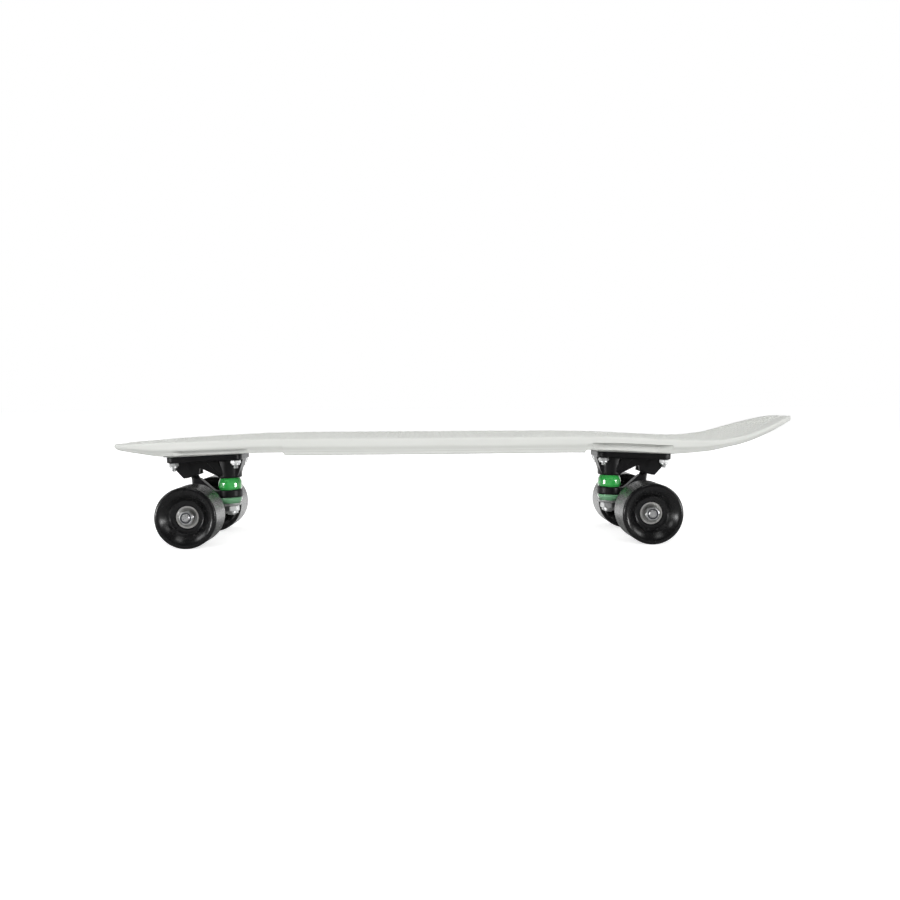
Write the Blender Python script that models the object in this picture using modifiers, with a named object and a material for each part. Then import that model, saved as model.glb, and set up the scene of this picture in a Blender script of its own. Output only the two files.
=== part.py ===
# Cruiser skateboard, 28 in class: a moulded plastic deck with a kicktail on two kingpin trucks.
# Units are metres. +X points to the nose, +Y to the rider's left, +Z up, and the wheels stand on Z = 0.
# The origin is on the ground, under the middle of the board.

import math

import bmesh
import bpy
from mathutils import Matrix, Vector

# Driving dimensions of the board
DECK_LENGTH = 0.711
DECK_WIDTH = 0.190
WHEELBASE = 0.454
NOSE_OVERHANG = 0.0915
WHEEL_DIAMETER = 0.060
WHEEL_WIDTH = 0.045
HANGER_WIDTH = 0.1016
TRUCK_HEIGHT = 0.057
TRUCK_TILT = math.radians(2.45)
GAP = 0.0003

# Deck outline and section
NOSE_RUN = 0.210
NOSE_SHAPE = (2.3, 1.8)
TAIL_RUN = 0.102
TAIL_SHAPE = (2.3, 1.5)
TAIL_WIDTH = 0.150
DECK_EDGE_RADIUS = 0.0026
DECK_SKIN = 0.0045
LIP_HEIGHT = 0.0080
LIP_OVERHANG = 0.0036
SKIRT_DRAFT = 0.0010
RIM_WIDTH = 0.0098
RIB_THICKNESS = 0.0036
LANE_EDGES = (0.030, 0.060)
BEYOND_DECK = 0.120
BELOW_DECK = 0.070
NOSE_POCKET_TIP = 0.326
NOSE_POCKET_SIDE = 0.318
TAIL_POCKET_END = -0.315
STEP_WALL = 0.005
PAD_WALL = 0.004
LONG_PAD_WALL = 0.005
NARROWEST_POCKET = 0.004
LONG_SPACING = 0.060
SHORT_SPACING = 0.030

# Rim section, as shares of the rim's height and of the edge radius
FULL_RIM = 0.014
LIP_SHARE = 0.55
UNDERCUT_SHARE = 0.20
EDGE_SHARE = 0.30
CHAMFER_SHARE = 0.29
FOOT_SHARE = 0.60

# Cut-outs in the skirt beside the trucks, and the moulded pads that the trucks are bolted to
NOTCH_MIDDLE = 0.0235
NOTCH_LENGTH = 0.0730
NOTCH_INNER_Y = 0.0740
FRONT_NOTCH_BAND = 0.0092
REAR_NOTCH_BAND = 0.0058
PAD_MARGIN = 0.0025
PAD_HALF_WIDTH = 0.0290
PAD_HALF_DEPTH = 0.0068

# Truck, measured from the axle: along the board towards its middle, and square to the baseplate
PLATE_LENGTH = 0.077
PLATE_WIDTH = 0.055
PLATE_THICKNESS = 0.006
PLATE_MIDDLE = 0.0072
BOLT_SPACING_LONG = 0.0635
BOLT_SPACING_WIDE = 0.0413
KINGPIN_X = 0.0280
KINGPIN_RADIUS = 0.0047
KINGPIN_ACROSS = 0.0143
KINGPIN_HEAD_BOTTOM = 0.0508
KINGPIN_HEAD_TOP = 0.0558
KINGPIN_END = -0.0076
BOSS_BOTTOM = 0.0329
RING_TOP = 0.0187
RING_BOTTOM = 0.0111
RING_RADIUS = 0.0125
RING_BORE = 0.0070
PIVOT_BALL = (-0.0096, 0.0398)
PIVOT_BALL_RADIUS = 0.0050
PIVOT_LEAN = math.radians(15.2)
CUP_RADIUS = 0.0072

# Axle and bearings, 8 x 22 x 7 mm
AXLE_RADIUS = 0.0040
AXLE_END = 0.0845
BEARING_WIDTH = 0.007
BEARING_RADIUS = 0.011
BEARING_SPACER = 0.010
INNER_RING_RADIUS = 0.0058
SHIELD_RADIUS = 0.0062
WASHER_THICKNESS = 0.001

# Fasteners
BOLT_RADIUS = 0.0024
BOLT_LENGTH = 0.032
BOLT_HEAD_RADIUS = 0.0047
BOLT_HEAD_HEIGHT = 0.0028
BOLT_RECESS = 0.0004
NUT_ACROSS = 0.0095
NUT_HEIGHT = 0.0050

# Worked out from the above
HALF_LENGTH = DECK_LENGTH / 2
WHEEL_RADIUS = WHEEL_DIAMETER / 2
WHEEL_SIDES = 26
FRONT_AXLE_X = HALF_LENGTH - NOSE_OVERHANG
REAR_AXLE_X = FRONT_AXLE_X - WHEELBASE
SHOULDER = HANGER_WIDTH / 2
BEARING_START = SHOULDER + WASHER_THICKNESS
WHEEL_CENTRE = BEARING_START + BEARING_WIDTH + BEARING_SPACER / 2
STACK_END = BEARING_START + 2 * BEARING_WIDTH + BEARING_SPACER + WASHER_THICKNESS
RING_CENTRE = (KINGPIN_X, (RING_TOP + RING_BOTTOM) / 2)
PAD_LENGTH = PLATE_LENGTH + 2 * PAD_MARGIN


# Scene helpers

def clear_scene():
    for old in list(bpy.data.objects):
        bpy.data.objects.remove(old, do_unlink=True)


def new_collection(name):
    made = bpy.data.collections.new(name)
    bpy.context.scene.collection.children.link(made)
    return made


def paint(name, colour, roughness, metallic=0.0):
    made = bpy.data.materials.new(name)
    made.use_nodes = True
    shader = made.node_tree.nodes["Principled BSDF"]
    shader.inputs["Base Color"].default_value = (*colour, 1.0)
    shader.inputs["Roughness"].default_value = roughness
    shader.inputs["Metallic"].default_value = metallic
    made.diffuse_color = (*colour, 1.0)
    return made


def add_object(name, mesh, material, parent=None, location=(0, 0, 0), rotation=(0, 0, 0)):
    made = bpy.data.objects.new(name, mesh)
    parts.objects.link(made)
    made.parent = parent
    made.location = location
    made.rotation_euler = rotation
    if not mesh.materials:
        mesh.materials.append(material)
    return made


def add_empty(name, parent, location, rotation=(0, 0, 0)):
    made = bpy.data.objects.new(name, None)
    parts.objects.link(made)
    made.parent = parent
    made.location = location
    made.rotation_euler = rotation
    made.empty_display_size = 0.02
    return made


def add_cutter(name, mesh, matrix=None):
    made = bpy.data.objects.new(name, mesh)
    cutters.objects.link(made)
    if matrix is not None:
        made.matrix_world = matrix
    made.hide_render = True
    made.display_type = "WIRE"
    return made


def mesh_from(work, name):
    bmesh.ops.recalc_face_normals(work, faces=work.faces)
    made = bpy.data.meshes.new(name)
    work.to_mesh(made)
    work.free()
    return made


def settled_mesh(source, name):
    # The object's mesh after its modifiers, with caps and seams welded, as plain mesh data.
    bpy.context.view_layer.update()
    evaluated = source.evaluated_get(bpy.context.evaluated_depsgraph_get())
    raw = bpy.data.meshes.new_from_object(evaluated)
    work = bmesh.new()
    work.from_mesh(raw)
    bmesh.ops.remove_doubles(work, verts=work.verts, dist=0.00002)
    bpy.data.objects.remove(source, do_unlink=True)
    return mesh_from(work, name)


def smooth(mesh, angle=35):
    mesh.shade_smooth()
    mesh.set_sharp_from_angle(angle=math.radians(angle))
    return mesh


def combine(target, other, operation):
    step = target.modifiers.new(operation.lower(), "BOOLEAN")
    step.operation = operation
    step.solver = "EXACT"
    step.object = other


# Shape helpers

def turned_mesh(name, profile, steps, closed=False):
    # A profile of (radius, height) points, outer side from top to bottom, turned about Z.
    mesh = bpy.data.meshes.new(name + "_profile")
    count = len(profile)
    links = [(i, i + 1) for i in range(count - 1)]
    if closed:
        links.append((count - 1, 0))
    mesh.from_pydata([(radius, 0, height) for radius, height in profile], links, [])
    source = bpy.data.objects.new(name + "_turning", mesh)
    parts.objects.link(source)
    screw = source.modifiers.new("turn", "SCREW")
    screw.steps = steps
    screw.render_steps = steps
    screw.use_merge_vertices = True
    screw.merge_threshold = 0.00001
    return smooth(settled_mesh(source, name))


def disc_mesh(name, radius, bottom, top, segments=24):
    work = bmesh.new()
    centre = Matrix.Translation((0, 0, (bottom + top) / 2))
    bmesh.ops.create_cone(work, cap_ends=True, segments=segments, radius1=radius, radius2=radius,
                          depth=top - bottom, matrix=centre)
    return mesh_from(work, name)


def bore_mesh(name, radius, bottom, top, segments=12):
    # A cutter whose flats, not its corners, lie at the radius, so a round pin of that radius fits.
    return disc_mesh(name, radius / math.cos(math.pi / segments), bottom, top, segments)


def cone_mesh(name, low_radius, high_radius, bottom, top, segments=24):
    work = bmesh.new()
    centre = Matrix.Translation((0, 0, (bottom + top) / 2))
    bmesh.ops.create_cone(work, cap_ends=True, segments=segments, radius1=low_radius,
                          radius2=high_radius, depth=top - bottom, matrix=centre)
    return mesh_from(work, name)


def plate_mesh(name, outline, half_thickness, edge=0.0, plane="XZ"):
    # A flat outline given thickness: in plane XZ it is thick along Y, in YZ along X, in XY along Z.
    curve = bpy.data.curves.new(name, "CURVE")
    curve.dimensions = "2D"
    curve.fill_mode = "BOTH"
    curve.extrude = half_thickness - edge
    curve.bevel_depth = edge
    curve.offset = -edge
    curve.bevel_resolution = 0
    line = curve.splines.new("POLY")
    line.points.add(len(outline) - 1)
    for point, (across, up) in zip(line.points, outline):
        point.co = (across, up, 0, 1)
    line.use_cyclic_u = True
    source = bpy.data.objects.new(name + "_outline", curve)
    parts.objects.link(source)
    mesh = settled_mesh(source, name)
    turns = {
        "XZ": Matrix.Rotation(math.pi / 2, 4, "X"),
        "YZ": Matrix.Rotation(math.pi / 2, 4, "Z") @ Matrix.Rotation(math.pi / 2, 4, "X"),
        "XY": Matrix.Identity(4),
    }
    mesh.transform(turns[plane])
    return mesh


def rounded_rectangle(length, width, radius, middle=0.0, steps=3):
    outline = []
    for index, (sx, sy) in enumerate([(1, 1), (-1, 1), (-1, -1), (1, -1)]):
        for step in range(steps + 1):
            angle = math.pi / 2 * (index + step / steps)
            x = middle + sx * (length / 2 - radius) + radius * math.cos(angle)
            y = sy * (width / 2 - radius) + radius * math.sin(angle)
            outline.append((x, y))
    return outline


def hex_nut_mesh(name, across, height, collar_radius, collar_height, bore):
    # A hexagon with its round locking collar on top, bored through.
    corner = across / math.sqrt(3)
    shoulder = height - collar_height
    hexagon = bpy.data.objects.new(name + "_work", cone_mesh(name, corner, corner, 0, shoulder, 6))
    parts.objects.link(hexagon)
    collar = disc_mesh(name + "_collar", collar_radius, shoulder - 0.0005, height, 8)
    combine(hexagon, add_cutter(name + "_collar", collar), "UNION")
    hole = bore_mesh(name + "_bore", bore, -0.001, height + 0.001, 8)
    combine(hexagon, add_cutter(name + "_bore", hole), "DIFFERENCE")
    return smooth(settled_mesh(hexagon, name))


# Deck

def blend(value):
    value = min(max(value, 0.0), 1.0)
    return value * value * (3 - 2 * value)


def along(points, x):
    # A smooth curve through (x, value) points from nose to tail. A run between equal values stays level.
    if x >= points[0][0]:
        return points[0][1]
    if x <= points[-1][0]:
        return points[-1][1]
    slopes = []
    for i in range(len(points)):
        before = points[max(i - 1, 0)]
        after = points[min(i + 1, len(points) - 1)]
        level = 0 < i < len(points) - 1 and points[i][1] in (before[1], after[1])
        slopes.append(0.0 if level else (after[1] - before[1]) / (after[0] - before[0]))
    for i in range(len(points) - 1):
        (x0, z0), (x1, z1) = points[i], points[i + 1]
        if x1 <= x <= x0:
            run = x1 - x0
            t = (x - x0) / run
            return ((2 * t ** 3 - 3 * t ** 2 + 1) * z0 + (t ** 3 - 2 * t ** 2 + t) * run * slopes[i]
                    + (3 * t ** 2 - 2 * t ** 3) * z1 + (t ** 3 - t ** 2) * run * slopes[i + 1])
    return points[-1][1]


# Height of the top face: a level middle, a nose that dips, a saddle over the rear truck and the kicktail.
TOP_CURVE = [
    (HALF_LENGTH, 0.0985), (0.335, 0.1003), (0.264, 0.1040), (0.205, 0.1064), (0.150, 0.1070),
    (-0.100, 0.1070), (-0.120, 0.1069), (-0.164, 0.1058), (-0.205, 0.1036), (-0.240, 0.1024),
    (-0.262, 0.1037), (-0.285, 0.1076), (-0.315, 0.1171), (-0.342, 0.1246), (-HALF_LENGTH, 0.1245),
]

# Height of the rim wall, from the tip of the nose to the tip of the tail.
FRONT_STEP_X = 0.167
REAR_STEP_X = -0.124
STEP_RUN = 0.002
RIM_HEIGHTS = [
    (HALF_LENGTH, 0.0040), (0.350, 0.0062), (0.329, 0.0092), (0.296, 0.0140),
    (FRONT_STEP_X + STEP_RUN, 0.0137), (FRONT_STEP_X, 0.0165), (REAR_STEP_X, 0.0163),
    (REAR_STEP_X - STEP_RUN, 0.0136), (-0.215, 0.0126), (-0.250, 0.0112), (-0.285, 0.0091),
    (-0.320, 0.0092), (-0.345, 0.0076), (-HALF_LENGTH, 0.0074),
]


def deck_top(x):
    return along(TOP_CURVE, x)


def rim_height(x):
    for (x0, h0), (x1, h1) in zip(RIM_HEIGHTS, RIM_HEIGHTS[1:]):
        if x >= x1:
            return h0 + (h1 - h0) * (x0 - x) / (x0 - x1)
    return RIM_HEIGHTS[-1][1]


def half_width(x):
    # Pointed round nose, long sides that draw in slightly, rounded tail.
    widest = DECK_WIDTH / 2
    waist = widest - (widest - TAIL_WIDTH / 2) * blend((0.06 - x) / 0.36)
    nose = (x - (HALF_LENGTH - NOSE_RUN)) / NOSE_RUN
    if nose > 0:
        return widest * max(1 - nose ** NOSE_SHAPE[0], 0.0) ** (1 / NOSE_SHAPE[1])
    tail = (-x - (HALF_LENGTH - TAIL_RUN)) / TAIL_RUN
    if tail > 0:
        return waist * max(1 - tail ** TAIL_SHAPE[0], 0.0) ** (1 / TAIL_SHAPE[1])
    return waist


def deck_stations():
    stations = []
    for step in range(13):
        stations.append(HALF_LENGTH - NOSE_RUN * (1 - math.cos(math.radians(7.0 * step))))
    stations += [0.09, 0.03, -0.04, -0.15, -0.175, -0.20, -0.22, -0.24, -0.255, -0.268]
    stations += [FRONT_STEP_X + STEP_RUN, FRONT_STEP_X, REAR_STEP_X, REAR_STEP_X - STEP_RUN]
    for step in range(10):
        stations.append(-HALF_LENGTH + TAIL_RUN * (1 - math.cos(math.radians(10.0 * step))))
    return sorted(set(round(x, 5) for x in stations), reverse=True)


def deck_half_section(x):
    # Half a section, from the middle of the top face round the rim to the middle of the underside.
    # The rim has an upright lip, and a skirt set back under it that draws in to a rounded foot.
    top = deck_top(x)
    height = rim_height(x)
    bottom = top - height
    width = half_width(x)
    radius = min(DECK_EDGE_RADIUS, EDGE_SHARE * height, 0.8 * width)
    inner = CHAMFER_SHARE * radius
    lip = min(LIP_HEIGHT, LIP_SHARE * height)
    overhang = min(LIP_OVERHANG * height / FULL_RIM, LIP_OVERHANG, 0.4 * width)
    draft = min(SKIRT_DRAFT, 0.1 * width)
    foot = min(FOOT_SHARE * radius, 0.2 * width)
    return [
        (0, top), (width - radius, top), (width - inner, top - inner), (width, top - radius),
        (width, top - lip), (width - overhang, top - lip - UNDERCUT_SHARE * height),
        (width - overhang - draft, bottom + foot),
        (width - overhang - draft - foot, bottom), (0, bottom),
    ]


def deck_body():
    work = bmesh.new()
    rows = []
    for x in deck_stations():
        rows.append([work.verts.new((x, y, z)) for y, z in deck_half_section(x)])
    for ahead, behind in zip(rows, rows[1:]):
        for i in range(len(ahead) - 1):
            work.faces.new((ahead[i], ahead[i + 1], behind[i + 1], behind[i]))
    bmesh.ops.remove_doubles(work, verts=work.verts, dist=0.00005)
    made = add_object("deck", mesh_from(work, "deck"), white_plastic)
    mirror = made.modifiers.new("both_sides", "MIRROR")
    mirror.use_axis = (False, True, False)
    mirror.use_clip = True
    mirror.merge_threshold = 0.00005
    return made


def add_pocket(work, x_front, x_back, y_inner, y_outer, side, skin=DECK_SKIN, through_rim=False):
    # One hollow between the ribs, open below. Its outer wall follows the rim unless it stops short of it.
    straight = REAR_STEP_X < x_back and x_front < FRONT_STEP_X
    spacing = LONG_SPACING if straight else SHORT_SPACING
    count = max(2, int(math.ceil((x_front - x_back) / spacing)) + 1)
    rows = []
    for i in range(count):
        x = x_front + (x_back - x_front) * i / (count - 1)
        outer = y_outer
        if not through_rim:
            outer = min(y_outer, half_width(x) - RIM_WIDTH)
        ceiling = deck_top(x) - skin
        corners = [(y_inner, BELOW_DECK), (outer, BELOW_DECK), (outer, ceiling), (y_inner, ceiling)]
        rows.append([work.verts.new((x, side * y, z)) for y, z in corners])
    for ahead, behind in zip(rows, rows[1:]):
        for i in range(4):
            j = (i + 1) % 4
            work.faces.new((ahead[i], ahead[j], behind[j], behind[i]))
    work.faces.new(rows[0])
    work.faces.new(rows[-1])


def rib_cells(start, end, count, rib=RIB_THICKNESS):
    # Splits a run into equal cells with a rib between neighbours.
    cell = (start - end - rib * (count - 1)) / count
    return [(start - i * (cell + rib), start - i * (cell + rib) - cell) for i in range(count)]


def pad_runs():
    # Front and back ends of the two truck pads along the board.
    front_middle = FRONT_AXLE_X - PLATE_MIDDLE
    rear_middle = REAR_AXLE_X + PLATE_MIDDLE
    return [(middle + PAD_LENGTH / 2, middle - PAD_LENGTH / 2) for middle in (front_middle, rear_middle)]


def deck_hollows():
    work = bmesh.new()
    half_rib = RIB_THICKNESS / 2
    lanes = [
        (half_rib, LANE_EDGES[0]), (LANE_EDGES[0] + RIB_THICKNESS, LANE_EDGES[1]),
        (LANE_EDGES[1] + RIB_THICKNESS, BEYOND_DECK),
    ]
    (front_start, front_end), (rear_start, rear_end) = pad_runs()
    columns = rib_cells(FRONT_STEP_X - STEP_WALL, REAR_STEP_X + STEP_WALL, 5)
    columns += rib_cells(front_end - PAD_WALL, FRONT_STEP_X + STEP_WALL, 1)
    columns += rib_cells(rear_end - LONG_PAD_WALL, TAIL_POCKET_END, 2)
    for side in (1, -1):
        for x_front, x_back in columns:
            for y_inner, y_outer in lanes:
                if y_inner < half_width(x_back) - RIM_WIDTH - NARROWEST_POCKET:
                    add_pocket(work, x_front, x_back, y_inner, y_outer, side)
        add_pocket(work, NOSE_POCKET_TIP, front_start + LONG_PAD_WALL, *lanes[0], side)
        add_pocket(work, NOSE_POCKET_SIDE, front_start + LONG_PAD_WALL, lanes[1][0], BEYOND_DECK, side)
        for x_front, x_back in pad_runs():
            add_pocket(work, x_front, x_back, PAD_HALF_WIDTH - 0.001, BEYOND_DECK, side)
    return mesh_from(work, "deck_hollows")


def rim_notches():
    # Beside each truck the skirt is cut back to a thin band of the lip.
    work = bmesh.new()
    front_middle = FRONT_AXLE_X - NOTCH_MIDDLE
    rear_middle = REAR_AXLE_X + NOTCH_MIDDLE
    for side in (1, -1):
        for middle, band in ((front_middle, FRONT_NOTCH_BAND), (rear_middle, REAR_NOTCH_BAND)):
            x_front = middle + NOTCH_LENGTH / 2
            x_back = middle - NOTCH_LENGTH / 2
            add_pocket(work, x_front, x_back, NOTCH_INNER_Y, BEYOND_DECK, side, skin=band, through_rim=True)
    return mesh_from(work, "rim_notches")


def truck_matrix(front):
    # The truck's own frame: X towards the middle of the board, Z square to the baseplate, at the axle.
    axle_x = FRONT_AXLE_X if front else REAR_AXLE_X
    facing = math.pi if front else 0.0
    return (Matrix.Translation((axle_x, 0, WHEEL_RADIUS)) @ Matrix.Rotation(facing, 4, "Z")
            @ Matrix.Rotation(-TRUCK_TILT, 4, "Y"))


def cup_matrix():
    # The pivot cup's place on the truck: at the ball, leaning along the stem.
    return Matrix.Translation((PIVOT_BALL[0], 0, PIVOT_BALL[1])) @ Matrix.Rotation(-PIVOT_LEAN, 4, "Y")


def bolt_places(front):
    # Truck-frame places of the four bolts: (x, y, height of the deck's top face there).
    places = []
    frame = truck_matrix(front)
    for sx in (1, -1):
        for sy in (1, -1):
            x = PLATE_MIDDLE + sx * BOLT_SPACING_LONG / 2
            y = sy * BOLT_SPACING_WIDE / 2
            foot = frame @ Vector((x, y, TRUCK_HEIGHT))
            rise = (deck_top(foot.x) - foot.z) / math.cos(TRUCK_TILT)
            head = frame @ Vector((x, y, TRUCK_HEIGHT + rise))
            rise += (deck_top(head.x) - head.z) / math.cos(TRUCK_TILT)
            places.append((x, y, TRUCK_HEIGHT + rise))
    return places


def build_deck():
    deck = deck_body()
    combine(deck, add_cutter("deck_hollows", deck_hollows()), "DIFFERENCE")
    combine(deck, add_cutter("rim_notches", rim_notches()), "DIFFERENCE")
    for name, front in (("front", True), ("rear", False)):
        frame = truck_matrix(front)
        outline = rounded_rectangle(PAD_LENGTH, 2 * PAD_HALF_WIDTH, 0.006, PLATE_MIDDLE)
        pad = plate_mesh(name + "_pad", outline, PAD_HALF_DEPTH, plane="XY")
        pad.transform(Matrix.Translation((0, 0, TRUCK_HEIGHT + PAD_HALF_DEPTH)))
        combine(deck, add_cutter(name + "_pad", pad, frame), "UNION")
        head = BOLT_HEAD_RADIUS + GAP
        shank = BOLT_RADIUS + GAP + 0.0001
        drill_profile = [
            (0, 0.004), (head, 0.004), (head, -BOLT_RECESS), (shank, -BOLT_HEAD_HEIGHT - BOLT_RECESS),
            (shank, -0.030), (0, -0.030),
        ]
        for number, (x, y, top) in enumerate(bolt_places(front), 1):
            drill = turned_mesh("drill", drill_profile, 9)
            place = frame @ Matrix.Translation((x, y, top))
            combine(deck, add_cutter(f"{name}_drill_{number}", drill, place), "DIFFERENCE")
    return deck


# Trucks

def baseplate_mesh():
    # Flat flange, a wedge web with the kingpin boss, and the leaning pivot boss with its cup bore.
    flange = plate_mesh("flange", rounded_rectangle(PLATE_LENGTH, PLATE_WIDTH, 0.008, PLATE_MIDDLE),
                        PLATE_THICKNESS / 2, plane="XY")
    flange.transform(Matrix.Translation((0, 0, TRUCK_HEIGHT - GAP - PLATE_THICKNESS / 2)))
    body = bpy.data.objects.new("baseplate_work", flange)
    parts.objects.link(body)
    under = TRUCK_HEIGHT - 0.003
    web_outline = [
        (-0.0288, under), (-0.0285, 0.0505), (-0.0249, 0.0415), (-0.0178, 0.0330), (-0.0050, 0.0362),
        (-0.0016, 0.0376), (-0.0008, 0.0438), (0.0185, 0.0332), (0.0378, 0.0332), (0.0394, 0.0360),
        (0.0444, 0.0505), (0.0444, under),
    ]
    web = plate_mesh("baseplate_web", web_outline, 0.0100, edge=0.0015)
    combine(body, add_cutter("baseplate_web", web), "UNION")
    boss = cone_mesh("kingpin_boss", 0.0112, 0.0135, BOSS_BOTTOM, TRUCK_HEIGHT - 0.002, 18)
    boss.transform(Matrix.Translation((KINGPIN_X, 0, 0)))
    combine(body, add_cutter("kingpin_boss", boss), "UNION")
    cup_frame = cup_matrix()
    pivot_boss = cone_mesh("pivot_boss", 0.0094, 0.0114, -0.0050, 0.0125, 16)
    combine(body, add_cutter("pivot_boss", pivot_boss, cup_frame), "UNION")
    for sy in (1, -1):
        rib_outline = [(0.004, 0.0525), (0.0180, 0.0525), (0.0230, 0.0370), (0.0200, 0.0345)]
        rib = plate_mesh("side_rib", rib_outline, 0.0012)
        rib.transform(Matrix.Translation((0, sy * 0.0108, 0)))
        combine(body, add_cutter("side_rib", rib), "UNION")
    bore = bore_mesh("cup_bore", CUP_RADIUS + GAP, -0.0120, 0.0068, 14)
    combine(body, add_cutter("cup_bore", bore, cup_frame), "DIFFERENCE")
    kingpin_hole = turned_mesh("kingpin_hole", [
        (0, 0.065), (0.0092, 0.065), (0.0092, 0.0505), (KINGPIN_RADIUS + GAP, 0.0505),
        (KINGPIN_RADIUS + GAP, 0.025), (0, 0.025)], 16)
    kingpin_hole.transform(Matrix.Translation((KINGPIN_X, 0, 0)))
    combine(body, add_cutter("kingpin_hole", kingpin_hole), "DIFFERENCE")
    pocket_outline = rounded_rectangle(0.0120, 0.0140, 0.003, 0.0095, 1)
    pocket = plate_mesh("casting_pocket", pocket_outline, 0.006, plane="XY")
    pocket.transform(Matrix.Translation((0, 0, TRUCK_HEIGHT)))
    combine(body, add_cutter("casting_pocket", pocket), "DIFFERENCE")
    for sx in (1, -1):
        for sy in (1, -1):
            hole = bore_mesh("plate_hole", BOLT_RADIUS + GAP, 0.040, 0.062, 8)
            hole.transform(Matrix.Translation((PLATE_MIDDLE + sx * BOLT_SPACING_LONG / 2,
                                               sy * BOLT_SPACING_WIDE / 2, 0)))
            combine(body, add_cutter("plate_hole", hole), "DIFFERENCE")
    return smooth(settled_mesh(body, "baseplate"))


def hanger_mesh():
    # Beam for the axle, wings, a web that carries the bushing ring, and the stem with its pivot ball.
    beam = turned_mesh("beam", [
        (0, SHOULDER), (0.0074, SHOULDER), (0.0078, 0.044), (0.0102, 0.010), (0.0102, -0.010),
        (0.0078, -0.044), (0.0074, -SHOULDER), (0, -SHOULDER)], 14)
    beam.transform(Matrix.Rotation(-math.pi / 2, 4, "X"))
    body = bpy.data.objects.new("hanger_work", beam)
    parts.objects.link(body)
    web_outline = [
        (-0.0098, 0.0000), (-0.0104, 0.0230), (-0.0098, 0.0292), (-0.0070, 0.0326), (-0.0026, 0.0326),
        (0.0120, 0.0190), (0.0160, 0.0178), (0.0205, 0.0178), (0.0205, 0.0118), (0.0165, 0.0112),
        (0.0098, -0.0040), (0.0040, -0.0090), (-0.0050, -0.0088),
    ]
    web = plate_mesh("hanger_web", web_outline, 0.0056, edge=0.0012)
    combine(body, add_cutter("hanger_web", web), "UNION")
    wing_outline = [
        (-0.0440, 0.0045), (-0.0080, 0.0215), (0.0080, 0.0215), (0.0440, 0.0045), (0.0440, -0.0040),
        (-0.0440, -0.0040),
    ]
    wing = plate_mesh("hanger_wing", wing_outline, 0.0034, edge=0.0008, plane="YZ")
    combine(body, add_cutter("hanger_wing", wing), "UNION")
    ring = disc_mesh("bushing_ring", RING_RADIUS, RING_BOTTOM, RING_TOP, 20)
    ring.transform(Matrix.Translation((KINGPIN_X, 0, 0)))
    combine(body, add_cutter("bushing_ring", ring), "UNION")
    cup_frame = cup_matrix()
    stem_profile = []
    for step in range(6):
        angle = math.radians(90 - 24 * step)
        stem_profile.append((PIVOT_BALL_RADIUS * math.cos(angle), PIVOT_BALL_RADIUS * math.sin(angle)))
    stem_profile[0] = (0, PIVOT_BALL_RADIUS)
    stem_profile += [(0.0040, -0.0052), (0.0046, -0.0085), (0.0056, -0.0130), (0, -0.0130)]
    combine(body, add_cutter("pivot_stem", turned_mesh("pivot_stem", stem_profile, 12), cup_frame), "UNION")
    ring_bore = bore_mesh("ring_bore", RING_BORE, 0.000, 0.030, 16)
    ring_bore.transform(Matrix.Translation((KINGPIN_X, 0, 0)))
    combine(body, add_cutter("ring_bore", ring_bore), "DIFFERENCE")
    axle_bore = bore_mesh("axle_bore", AXLE_RADIUS + GAP, -0.060, 0.060, 12)
    axle_bore.transform(Matrix.Rotation(math.pi / 2, 4, "X"))
    combine(body, add_cutter("axle_bore", axle_bore), "DIFFERENCE")
    return smooth(settled_mesh(body, "hanger"))


def pivot_cup_mesh():
    # A plastic cup whose hollow holds the pivot ball and flares at the mouth for the stem to swing.
    inner = PIVOT_BALL_RADIUS + GAP
    hollow = []
    for step in range(5):
        angle = math.radians(90 - 22.5 * step)
        hollow.append((inner * math.cos(angle), inner * math.sin(angle)))
    hollow[0] = (0, inner)
    profile = [(0, 0.0066), (CUP_RADIUS, 0.0066), (CUP_RADIUS, -0.0049), (0.0067, -0.0049)]
    profile += [(0.0057, -0.0026)] + hollow[::-1]
    return turned_mesh("pivot_cup", profile, 12)


def kingpin_mesh():
    corner = KINGPIN_ACROSS / math.sqrt(3)
    head = cone_mesh("kingpin", corner, corner, KINGPIN_HEAD_BOTTOM, KINGPIN_HEAD_TOP, 6)
    body = bpy.data.objects.new("kingpin_work", head)
    parts.objects.link(body)
    shank = turned_mesh("kingpin_shank", [
        (0, KINGPIN_HEAD_BOTTOM + 0.001), (KINGPIN_RADIUS, KINGPIN_HEAD_BOTTOM + 0.001),
        (KINGPIN_RADIUS, KINGPIN_END + 0.001), (KINGPIN_RADIUS - 0.001, KINGPIN_END), (0, KINGPIN_END)], 20)
    combine(body, add_cutter("kingpin_shank", shank), "UNION")
    return smooth(settled_mesh(body, "kingpin"))


def top_bushing_mesh():
    # Barrel of urethane between the baseplate boss and the hanger ring.
    top = BOSS_BOTTOM - GAP - 0.0010 - GAP
    bottom = RING_TOP + GAP
    bore = KINGPIN_RADIUS + GAP
    bulge = [(0.0112, top), (0.0122, top - 0.0016), (0.0122, bottom + 0.0016), (0.0112, bottom)]
    return turned_mesh("top_bushing", bulge + [(bore, bottom), (bore, top)], 18, closed=True)


def bottom_bushing_mesh():
    # Short cone of urethane between the hanger ring and the lower washer.
    top = RING_BOTTOM - GAP
    bottom = 0.0039
    bore = KINGPIN_RADIUS + GAP
    side = [(0.0112, top), (0.0118, top - 0.0014), (0.0110, top - 0.0032), (0.0088, bottom)]
    return turned_mesh("bottom_bushing", side + [(bore, bottom), (bore, top)], 18, closed=True)


def top_washer_mesh():
    top = BOSS_BOTTOM - GAP
    bore = KINGPIN_RADIUS + GAP
    profile = [(0.0112, top), (0.0112, top - 0.0010), (bore, top - 0.0010), (bore, top)]
    return turned_mesh("top_washer", profile, 14, closed=True)


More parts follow.
